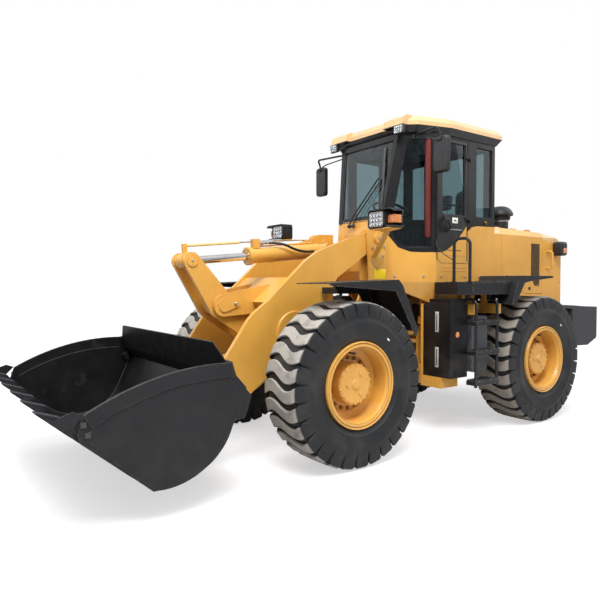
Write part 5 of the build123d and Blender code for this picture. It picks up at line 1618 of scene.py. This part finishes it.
@dataclass
class CabTrim:
    """Cowl panel, base bolts, pressed lines, lining and inner mirror."""

    face: float = 660.2
    cowl_y: float = 938.6
    bolt_z: float = 1557

    def build(self) -> None:
        """Models what is bolted or pressed on the cab's shell."""
        shape = Shape("cab_trim")
        self.cowl(shape)
        for side in SIDES:
            self.base(shape, side)
        self.inside(shape)
        self.lining(shape)
        self.lock(shape)
        shape.done("chassis")

    def cowl(self, shape: Shape) -> None:
        """Adds the blank pressed panel with its rivets under the windscreen."""
        y = self.cowl_y
        for sx in SIDES:
            shape.box(mm(sx * 190, y, 2068), (0.006, 0.004, 0.15), "yellow", 0.0018)
            for z in (1985, 2138):
                shape.turned(
                    Axis.AHEAD.turn(mm(sx * 215, y + 1, z)), [(0.006, 0), (0.005, 0.003), (0, 0.004)], "bolt", 12,
                )
        for z in (1996, 2136):
            shape.box(mm(0, y, z), (0.374, 0.004, 0.006), "yellow", 0.0018)
        for x in (-260, 260):
            shape.turned(
                Axis.AHEAD.turn(mm(x, y + 1, 2120)), [(0.01, 0), (0.009, 0.006), (0.004, 0.01), (0, 0.01)],
                "plastic", 14,
            )

    def base(self, shape: Shape, side: int) -> None:
        """Adds a row of bolts and pressed lines low on the cab's side.

        Args:
            shape: Takes the parts.
            side: 1 left, -1 right.
        """
        axis = Axis.out(side)
        for y in (1480, 1665, 1852, 2097, 2280):
            shape.bolt(axis.turn(mm(side * self.face, y, self.bolt_z)), 0.01, 0.008)
        out = facet(side)
        for share in (0.28, 0.78):
            spot = mm(side * (316 + 344 * share), 940.5 + 469.5 * share, self.bolt_z)
            shape.bolt(aim(spot + out * 0.0003, out), 0.01, 0.008)
        for z in (1650, 1618):
            shape.box(mm(side * 660.5, 1680, z), (0.004, 0.36, 0.008), "yellow", 0.0018)
        for y in (1500, 1850):
            shape.turned(axis.turn(mm(side * self.face, y, 1700)), [(0.007, 0), (0.006, 0.003), (0, 0.004)], "bolt", 12)

    def inside(self, shape: Shape) -> None:
        """Adds the posts' lining, the inner mirror and the sun blind."""
        for side in SIDES:
            shape.box(mm(side * 588, 1385, 2440), (0.06, 0.11, 0.98), "bar", 0.014)
        shape.box(mm(0, 1150, 2835), (0.24, 0.022, 0.07), "plastic", 0.01, 3)
        shape.tube([mm(0, 1160, 2860), mm(0, 1180, 2975)], 0.006, "plastic", 8)
        shape.box(mm(0, 1210, 2945), (0.9, 0.16, 0.014), "panel", 0.005)
        shape.box(mm(0, 1085, 2098), (0.42, 0.1, 0.05), "panel", 0.012, 3)
        for k in range(3):
            spot = aim(mm(-120 + 120 * k, 1138, 2104), Vector((0, 0.5, 0.86)))
            shape.turned(spot, [(0.03, 0), (0.03, 0.008), (0.026, 0.01), (0.026, 0.006), (0, 0.006)], "plastic", 20)

    def lining(self, shape: Shape) -> None:
        """Adds the dark inner trim behind the low windows, with its vents."""
        shape.box(mm(0, 1840, 1462), (1.16, 0.96, 0.012), "seal", 0.003)
        for side in SIDES:
            shape.box(mm(side * 608, 2130, 1800), (0.006, 0.42, 0.68), "panel", 0.002)
            spot = aim(mm(side * 430, 1205, 1800), facet(side), Vector((0, 0, 1)))
            shape.box(spot, (0.44, 0.66, 0.006), "seal", 0.002)
            for k in range(6):
                shape.box(spot @ shift(-0.12 + 0.048 * k, 0.1, 0.006), (0.01, 0.24, 0.006), "panel", 0.002)
            shape.box(spot @ shift(0, 0.235, 0.008), (0.3, 0.012, 0.006), "panel", 0.002)

    def lock(self, shape: Shape) -> None:
        """Adds the brass key and its barrel behind the door."""
        spot = Axis.LEFT.turn(mm(self.face, 2196, 2142))
        shape.turned(spot, [(0.015, 0), (0.014, 0.006), (0.009, 0.008), (0, 0.008)], "brass", 20)
        shape.box(mm(674, 2196, 2128), (0.016, 0.004, 0.034), "brass", 0.001)


@dataclass
class DoorTrim:
    """Handle, lock plate, edge strips and inner bar of the cab's door."""

    face: float = 660.3
    strips: tuple = (
        (3, 1526, 2156, (0.008, 0.034, 0.044), "plastic", 0.003),
        (3, 1594, 2030, (0.008, 0.034, 0.044), "plastic", 0.003),
        (1.5, 1692, 2134, (0.004, 0.086, 0.058), "white", 0.0018),
        (4, 1692, 2134, (0.004, 0.034, 0.012), "plastic", 0.001),
        (0.8, 1700, 2040, (0.003, 0.2, 0.007), "bolt", 0.001),
        (0.8, 1680, 1828, (0.003, 0.22, 0.006), "trim", 0.001),
        (0.8, 1700, 1777, (0.003, 0.3, 0.008), "yellow", 0.001),
        (1.2, 1418, 2330, (0.005, 0.01, 1.22), "seal", 0.002),
        (1.2, 1888, 2330, (0.005, 0.01, 1.22), "seal", 0.002),
    )

    def build(self) -> None:
        """Models what the door carries."""
        shape = Shape("door_trim")
        path = [mm(x, y, z) for x, y, z in ((662, 1528, 2150), (704, 1533, 2140), (706, 1575, 2062), (664, 1592, 2036))]
        shape.tube(path, 0.011, "plastic", 10, 0.03)
        for off, y, z, size, kind, bevel in self.strips:
            shape.box(mm(self.face + off, y, z), size, kind, bevel)
        for z in (2150, 2790):
            spot = Axis.LEFT.turn(mm(self.face + 6, 1878, z + 20))
            shape.bolt(spot, 0.006, 0.005, "dark_bolt")
        shape.tube([mm(610, 1500, 2300), mm(596, 1680, 2300), mm(610, 1860, 2300)], 0.01, "plastic", 8, 0.05)
        shape.done("door")


# ---- hood ----


@dataclass
class HoodTrim:
    """Mesh grilles, latches, seam strips and bolts of the hood."""

    face: float = 650.2
    pitch: float = 24.0
    row: float = 20.8
    bolts: tuple[Point, ...] = (
        (3700, 1500, 0.008, 0.006), (3700, 1700, 0.008, 0.006), (3700, 1930, 0.008, 0.006),
        (3450, 1250, 0.009, 0.007), (3450, 1320, 0.009, 0.007),
    )

    def build(self) -> None:
        """Models the trim on the side doors and on the fixed hood."""
        for side, name in ((1, "left"), (-1, "right")):
            shape = Shape(f"hood_door_trim_{name}")
            self.grille(shape, side)
            axis = Axis.out(side)
            for y in (2620, 3060):
                spot = axis.turn(mm(side * self.face, y, 1560 if y < 2800 else 1425))
                shape.turned(
                    spot, [(0.02, 0), (0.02, 0.004), (0.014, 0.006), (0.012, 0.003), (0, 0.003)], "plastic", 22,
                )
            for y in (2540, 3290):
                shape.box(mm(side * 650.6, y, 1780), (0.004, 0.006, 0.42), "yellow", 0.0015)
            shape.done(f"hood_door_{name}")
        shape = Shape("hood_trim")
        for side in SIDES:
            axis = Axis.out(side)
            for y, z, radius, height in self.bolts:
                shape.bolt(axis.turn(mm(side * self.face, y, z)), radius, height)
            for z in (1870, 1670):
                spot = axis.turn(mm(side * self.face, 3430, z))
                shape.turned(spot, [(0.022, 0), (0.021, 0.005), (0.012, 0.006)], "yellow", 20)
        self.cleaner(shape)
        for x in (-462, 462):
            for z in (1350, 1590, 1830):
                shape.bolt(Axis.BACK.turn(mm(x, 3735.5, z)), 0.009, 0.007)
        shape.done("chassis")

    def grille(self, shape: Shape, side: int) -> None:
        """Adds the dark hexagon mesh with its tapered foot and a rim.

        Args:
            shape: Takes the parts.
            side: 1 left, -1 right.
        """
        out = 651.0
        outline = [(3095, 1950), (3255, 1950), (3255, 1460), (3170, 1460), (3095, 1560)]
        points = [mm(side * (out - 0.6), y, z) for y, z in outline]
        shape.plate(points, Vector((side * 0.0015, 0, 0)), "shade")
        shape.tube(points + [points[0]], 0.005, "trim", 6)
        with shape.part("seal") as mesh:
            for k in range(23):
                for i in range(7):
                    y = 3107 + self.pitch * (i + (0.5 if k % 2 else 0.0))
                    z = 1940 - self.row * k
                    if y > 3246 or z < 1470 or (y - 3095) * 1.33 + (z - 1575) < 0:
                        continue
                    spot = Axis.out(side).turn(mm(side * (out + 1), y, z))
                    cell = bmesh.ops.create_circle(mesh, cap_ends=True, segments=6, radius=0.0132, matrix=spot)
                    face = cell["verts"][0].link_faces[0]
                    bmesh.ops.inset_individual(mesh, faces=[face], thickness=0.0028, depth=0.0)
                    bmesh.ops.delete(mesh, geom=[face], context="FACES")
            shape.thicken(mesh, mesh.faces[:], (side * 0.003, 0, 0))

    def cleaner(self, shape: Shape) -> None:
        """Adds the pre-cleaner's clamp bands and louvres and the exhaust's clamp."""
        place = Axis.UP.turn(mm(250, 3050, 0))
        for z in (2.135, 2.235):
            shape.turned(place, [(0.0985, z), (0.1005, z), (0.1005, z + 0.014), (0.0985, z + 0.014)], "bolt", 40)
        for k in range(20):
            turn = around(place, math.tau * k / 20, 0.115, 2.281)
            shape.box(turn, (0.01, 0.006, 0.034), "plastic", 0.0015)
        pipe = Axis.UP.turn(mm(-250, 2900, 0))
        shape.turned(pipe, [(0.0485, 2.3), (0.052, 2.3), (0.052, 2.32), (0.0485, 2.32)], "bolt", 30)


# ---- decks, ladders and boxes ----


@dataclass
class DeckTrim:
    """Serrated steps, fixings, box handles, reflectors and blank plates."""

    def build(self) -> None:
        """Models the trim of the decks on both sides."""
        shape = Shape("deck_trim")
        for side in SIDES:
            self.steps(shape, side)
            self.boxes(shape, side)
            self.fixings(shape, side)
        shape.done("chassis")

    def saw(
        self, shape: Shape, start: Vector, end: Vector, up: Vector, finish_name: str = "plate", pitch: float = 0.028,
        height: float = 0.012,
    ) -> None:
        """Adds a strip with saw teeth between two points.

        Args:
            shape: Takes the parts.
            start: One end.
            end: The other end.
            up: Where the teeth point.
            finish_name: The finish of its faces.
            pitch: Length of a tooth.
            height: Height of a tooth.
        """
        count = max(2, int((end - start).length / pitch))
        run = (end - start) / count
        points = [start - up * 0.01]
        for k in range(count):
            foot = start + run * k
            points += [foot, foot + run * 0.2 + up * height, foot + run * 0.62 + up * height, foot + run * 0.82]
        points += [end, end - up * 0.01]
        thick = run.normalized().cross(up) * 0.004
        shape.plate(points, thick, finish_name)

    def steps(self, shape: Shape, side: int) -> None:
        """Adds the saw-toothed edges of treads and deck.

        Args:
            shape: Takes the parts.
            side: 1 left, -1 right.
        """
        up = Vector((0, 0, 1))
        for z in (1100, 810, 520):
            for x in (962, 1076):
                self.saw(shape, mm(side * x, 1520, z + 22), mm(side * x, 1850, z + 22), up)
        self.saw(shape, mm(side * 1072, 1470, 1500), mm(side * 1076, 2090, 1500), up, pitch=0.04)
        for k in range(9):
            y = 1450 + 70 * k
            for x in (760, 860, 960):
                spot = Axis.UP.turn(mm(side * x, y, 1500))
                shape.turned(
                    spot, [(0.019, 0), (0.016, 0.005), (0.012, 0.005), (0.012, 0.001), (0, 0.001)], "plate", 12,
                )

    def boxes(self, shape: Shape, side: int) -> None:
        """Adds the lift-out handles, hinges and reflector of the side box.

        Args:
            shape: Takes the parts.
            side: 1 left, -1 right.
        """
        face = 1299.6
        for z in (1112, 765):
            shape.box(mm(side * 769, face - 1, z), (0.046, 0.006, 0.2), "zinc", 0.0025)
            shape.box(mm(side * 769, face - 5, z), (0.014, 0.006, 0.165), "tank", 0.002)
        shape.box(mm(side * 762, face - 1, 940), (0.3, 0.004, 0.72), "trim", 0.0015)
        axis = Axis.out(side)
        spot = axis.turn(mm(side * 935.2, 1401, 989))
        shape.turned(spot, [(0.028, 0), (0.028, 0.004), (0.024, 0.007), (0, 0.009)], "amber", 26)
        for y in (1330, 1520):
            for z in (620, 1290):
                shape.bolt(axis.turn(mm(side * 935.2, y, z)), 0.008, 0.006, "dark_bolt")
        shape.box(mm(side * 902, 1729, 1262), (0.003, 0.07, 0.05), "sign", 0.001)
        for z in (700, 1060):
            shape.box(mm(side * 926.5, 1755, z), (0.003, 0.25, 0.035), "tank", 0.001)

    def fixings(self, shape: Shape, side: int) -> None:
        """Adds bolts along the ladder mounts, the handrail's feet and the stay rod.

        Args:
            shape: Takes the parts.
            side: 1 left, -1 right.
        """
        axis = Axis.out(side)
        for y in (1545, 1825):
            shape.bolt(axis.turn(mm(side * 1068.5, y, 1330)), 0.009, 0.007)
        for x, y in ((885, 1405), (1035, 1452)):
            spot = Axis.UP.turn(mm(side * x, y, 1500))
            shape.turned(spot, [(0.032, 0), (0.032, 0.006), (0.017, 0.007)], "trim", 20)
        path = [
            mm(side * x, y, z)
            for x, y, z in ((885, 1418, 1700), (760, 1372, 1790), (684, 1366, 1880), (672, 1428, 1950))
        ]
        shape.tube(path, 0.0045, "plastic", 8, 0.05)


# ---- bucket ----


@dataclass
class BucketTrim:
    """Weld beads, corner bolts and stiffening tubes of the bucket.

    Drawn on the level bucket: y behind the drawing's origin, z above the ground.
    """

    half: float = 1150.0
    tilt: float = 40.6
    heel: Point = (-191.0, 440.0)
    heel_radius: float = 422.0
    teeth: int = 7

    def at(self, x: float, y: float, z: float) -> Vector:
        """Returns a point drawn on the level bucket, rolled back in the frame."""
        turn = Matrix.Rotation(math.radians(-self.tilt), 4, "X")
        return mm(0, -1050, 400) + turn @ Vector((x / 1000, (y - 404) / 1000, (z - 592) / 1000))

    @staticmethod
    def arc(a: Point, b: Point, c: Point, count: int = 16) -> list[Point]:
        """Returns points on the arc through three points, from the first to the last.

        Args:
            a: The first point.
            b: A point between.
            c: The last point.
            count: Steps along the arc.

        Returns:
            The points.
        """
        (ax, ay), (bx, by), (cx, cy) = a, b, c
        d = 2 * (ax * (by - cy) + bx * (cy - ay) + cx * (ay - by))
        sa, sb, sc = ax**2 + ay**2, bx**2 + by**2, cx**2 + cy**2
        x = (sa * (by - cy) + sb * (cy - ay) + sc * (ay - by)) / d
        y = (sa * (cx - bx) + sb * (ax - cx) + sc * (bx - ax)) / d
        radius = math.hypot(ax - x, ay - y)
        start, end = math.atan2(ay - y, ax - x), math.atan2(cy - y, cx - x)
        turn = (end - start + math.pi) % math.tau - math.pi
        steps = [start + turn * k / count for k in range(count + 1)]
        return [(x + radius * math.cos(s), y + radius * math.sin(s)) for s in steps]

    def build(self) -> None:
        """Models the trim on the bucket's shell."""
        shape = Shape("bucket_trim")
        seam = [(-560, 20)]
        for k in range(12):
            turn = math.radians(10 * k)
            seam.append(
                (self.heel[0] + self.heel_radius * math.sin(turn), self.heel[1] - self.heel_radius * math.cos(turn))
            )
        seam.append((128, 838))
        upper = self.arc((-18, 842), (-378, 470), (-572, 108))
        heel = [(-191, 2.0), (3, 0.6), *self.arc((20, 15), (160, 158), (238, 392), 10)]
        back = self.arc((238, 392), (226, 519), (152, 812), 8)[1:]
        for side in SIDES:
            inner = side * (self.half - 33.5)
            self.side_plate(shape, side, [(-548, 34), *heel[1:], *back, *upper], 4.0, -11.8)
            self.side_plate(shape, side, heel, 20.0, -31.8)
            shape.tube([self.at(inner, y, z) for y, z in seam], 0.0055, "bead", 6)
            shape.tube([self.at(side * (self.half - 31.5), y, z) for y, z in upper], 0.0035, "bead", 6)
            shape.tube([self.at(side * (self.half - 11.5), y, z) for y, z in upper], 0.003, "bead", 6)
            out = (self.at(side, 0, 0) - self.at(0, 0, 0)).normalized()
            for y, z in ((-618, 92), (-560, 60)):
                place = aim(self.at(side * (self.half - 11.8), y, z), out)
                shape.box(place @ shift(0, 0, 0.005), (0.034, 0.034, 0.012), "bead", 0.003)
            place = aim(self.at(side * (self.half - 66), 112, 806), self.at(0, -100, 40) - self.at(0, 0, 0))
            shape.turned(place, [(0.021, 0), (0.021, 0.062), (0.03, 0.062), (0.03, 0)], "plate", 24)
        shape.tube([self.at(x, -66, 936.5) for x in (-1110, 1110)], 0.004, "bead", 6)
        shape.done("bucket")

    def side_plate(self, shape: Shape, side: int, outline: Sequence[Point], thickness: float, level: float) -> None:
        """Adds a flat plate on one side of the bucket."""
        points = [self.at(side * (self.half + level), y, z) for y, z in outline]
        out = self.at(side * thickness, 0, 0) - self.at(0, 0, 0)
        shape.plate(points, out, "bucket_side")


# ---- seat ----


@dataclass
class Seat:
    """Sprung seat with sewn cushions on its pedestal."""

    voxel: float = 0.009
    frames: int = 20
    swell: float = 0.018
    cloth: dict[str, object] = field(default_factory=lambda: {
        "quality": 5, "mass": 0.3, "tension_stiffness": 18, "compression_stiffness": 18,
        "bending_stiffness": 0.6, "use_pressure": True, "uniform_pressure_force": 3.0,
    })

    def build(self) -> None:
        """Models the frame parts and blows the cushions up."""
        shape = Shape("seat_frame")
        shape.box(mm(0, 1950, 1500), (0.33, 0.33, 0.115), "plastic", 0.012, 3)
        for k in range(5):
            shape.box(mm(0, 1950, 1566 + 15 * k), (0.31 - 0.02 * (k % 2), 0.31 - 0.02 * (k % 2), 0.012), "seal", 0.005)
        shape.box(mm(0, 1945, 1650), (0.45, 0.43, 0.03), "plastic", 0.01, 3)
        back = Matrix.Translation(mm(0, 2205, 2000)) @ Matrix.Rotation(math.radians(-9.5), 4, "X")
        shape.box(back @ shift(0, 0.045, 0), (0.38, 0.02, 0.56), "plastic", 0.009, 3)
        for x in (-0.07, 0.07):
            shape.tube([back @ Vector((x, 0.02, 0.3)), back @ Vector((x, 0.005, 0.44))], 0.007, "bolt", 10)
        for side in SIDES:
            arm = [mm(side * 238, 2170, 1930), mm(side * 238, 1900, 1925)]
            shape.tube(arm, 0.02, "plastic", 12)
            shape.box(mm(side * 238, 2165, 1925), (0.03, 0.07, 0.09), "plastic", 0.01, 3)
        shape.box(mm(205, 1760, 1668), (0.02, 0.1, 0.018), "plastic", 0.006)
        shape.done("chassis")
        self.cushion("seat_cushion", Matrix.Translation(mm(0, 1930, 1735)), (0.46, 0.42, 0.115), ["seat"])
        self.cushion("seat_back", back @ shift(0, -0.012, 0.0), (0.43, 0.1, 0.6), [])
        self.cushion("seat_head", back @ shift(0, 0.0, 0.435), (0.26, 0.085, 0.17), [])

    def cushion(self, name: str, place: Matrix, size: Point, replaces: Sequence[str]) -> None:
        """Makes one stuffed cushion.

        Args:
            name: The object's name.
            place: Its middle and lean.
            size: Its sizes when flat.
            replaces: CAD nodes that it stands for.
        """
        shape = Shape(name)
        with shape.part("cover", place) as mesh:
            shape.cube(mesh, size)
            shape.round_off(mesh, mesh.edges[:], min(size) * 0.3, 4)
        made = shape.done("chassis", replaces)
        made.parent = None
        self.inflate(made)
        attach(made, "chassis")

    def inflate(self, made: Object) -> None:
        """Blows a cushion up as cloth and keeps the settled shape.

        Args:
            made: The cushion.
        """
        scene = bpy.context.scene
        remesh = made.modifiers.new("Voxels", "REMESH")
        remesh.mode = "VOXEL"
        remesh.voxel_size = self.voxel
        self.apply(made)
        cloth = made.modifiers.new("Cloth", "CLOTH")
        for key, value in self.cloth.items():
            setattr(cloth.settings, key, value)
        cloth.settings.effector_weights.gravity = 0.0
        cloth.point_cache.frame_start, cloth.point_cache.frame_end = 1, self.frames
        before = [v.co.copy() for v in made.data.vertices]
        for frame in range(1, self.frames + 1):
            scene.frame_set(frame)
        self.apply(made)
        scene.frame_set(1)
        for vertex, old in zip(made.data.vertices, before):
            moved = vertex.co - old
            if moved.length > self.swell:
                vertex.co = old + moved.normalized() * self.swell
        for polygon in made.data.polygons:
            polygon.use_smooth = True

    @staticmethod
    def apply(made: Object) -> None:
        """Turns the object's modifiers into mesh.

        Args:
            made: The object.
        """
        graph = bpy.context.evaluated_depsgraph_get()
        data = bpy.data.meshes.new_from_object(made.evaluated_get(graph), depsgraph=graph)
        made.modifiers.clear()
        old = made.data
        made.data = data
        bpy.data.meshes.remove(old)


# ---- cylinders ----


@dataclass
class CylinderTrim:
    """Flange bolts, fittings and hard line of the cylinders."""

    tilt_base: Point = (500, 1820)
    crank_top: Point = (-997, 1681)
    level: float = 0.13
    sleeve: Point = (0.972, 1.488)
    port: Point = (0.024, 0.112)
    flange_bolts: int = 10
    lift_base: Point = (1045, 1100)
    lift_eye: Point = (-170, 1060)
    lift_x: float = 0.285

    def build(self) -> None:
        """Models what the three kinds of cylinder carry."""
        place = self.frame(self.tilt_base, self.crank_top)
        self.barrel(place)
        rod = Shape("level_rod_sleeve")
        rod.tube([place @ Vector((0, self.level, z)) for z in self.sleeve], 0.0125, "roof", 20)
        rod.done("tilt_rod")
        self.lift()

    @staticmethod
    def frame(base: Point, eye: Point) -> Matrix:
        """Returns a cylinder's own frame, its Z from the base pin to the eye."""
        start, end = mm(0, *base), mm(0, *eye)
        return aim(start, (end - start).normalized(), Vector((0, 0, 1)))

    def barrel(self, place: Matrix) -> None:
        """Adds the tilt barrel's flange, bands, hard line and hose fittings.

        Args:
            place: The cylinder's own frame.
        """
        shape = Shape("tilt_barrel_fittings")
        for k in range(self.flange_bolts):
            spot = around(place, math.tau * (k + 0.5) / self.flange_bolts, 0.0665, 0.9052)
            shape.bolt(spot, 0.0085, 0.008, "bolt", False)
        shape.turned(place, [(0.0702, 0.862), (0.083, 0.864), (0.083, 0.902), (0.0702, 0.904)], "yellow", 48)
        for z in (0.3, 0.62):
            shape.turned(
                place, [(0.0702, z), (0.0735, z + 0.002), (0.0735, z + 0.026), (0.0702, z + 0.028)], "yellow", 40,
            )
        side = place.col[0].xyz.normalized()
        sign = 1 if side.x > 0 else -1
        line = [
            place @ Vector((sign * x, y, z))
            for x, y, z in ((-0.03, 0.066, 0.1), (-0.03, 0.084, 0.13), (-0.03, 0.084, 0.82), (-0.03, 0.066, 0.85))
        ]
        shape.tube(line, 0.008, "yellow", 10, 0.02)
        for z, r in ((0.766, 0.024), (0.7, 0.019), (0.655, 0.021)):
            spot = place @ shift(sign * self.port[0], self.port[1], z)
            shape.turned(spot, [(0.012, -0.028), (r, -0.028), (r, 0.004), (0.012, 0.006)], "bolt", 6)
        shape.tube([place @ Vector((sign * self.port[0], self.port[1], z)) for z in (0.64, 0.77)], 0.0145, "bolt", 14)
        shape.done("tilt_barrel")

    def lift(self) -> None:
        """Adds port fittings on the lift barrels."""
        shape = Shape("lift_barrel_fittings")
        for side in SIDES:
            place = shift(side * self.lift_x, 0, 0) @ self.frame(self.lift_base, self.lift_eye)
            for z in (0.12, 0.96):
                spot = place @ shift(0, 0.06, z) @ Matrix.Rotation(-math.pi / 2, 4, "X")
                shape.turned(
                    spot, [(0.016, -0.006), (0.016, 0.012), (0.012, 0.014), (0.012, 0.024), (0, 0.024)], "bolt", 12,
                )
        shape.done("lift_barrels")


ASSEMBLIES = (Lamps, Mirrors, Seals, Wiper, CabTrim, DoorTrim, HoodTrim, DeckTrim, BucketTrim, Seat, CylinderTrim)


# ---- the whole machine ----


def wheels() -> None:
    """Builds the four tyres and the fittings of their rims."""
    stations = {"front": 0.0, "rear": DATUM.rear_axle}
    dusty = {"front": {}, "rear": {"dust": 0.65, "dust_colour": srgb("A79D91")}}
    for end, y in stations.items():
        for side_name, side in (("left", 1.0), ("right", -1.0)):
            centre = DATUM.at(side * DATUM.track, y, DATUM.axle_height)
            body = f"{end}_{side_name}_wheel"
            Tyre(
                f"{end}_{side_name}_tread", body, centre, side, replaced=f"{end}_{side_name}_tyre", **dusty[end],
            ).build()
            WheelFittings(f"{end}_{side_name}_rim_fittings", body, centre, side).build()


def main() -> None:
    """Loads the frame, dresses it, builds every sub-assembly and the studio."""
    logging.basicConfig(level=logging.INFO, format="%(name)s %(message)s")
    random.seed(SEED)
    scene = bpy.context.scene
    scene.view_settings.view_transform = "Standard"
    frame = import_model()
    NodeFinishes().build(frame)
    wheels()
    PinFittings().build()
    for part in ASSEMBLIES:
        part().build()
    Studio().build()
    bpy.context.view_layer.update()
    LOG.info("size written")


if __name__ == "__main__":
    main()
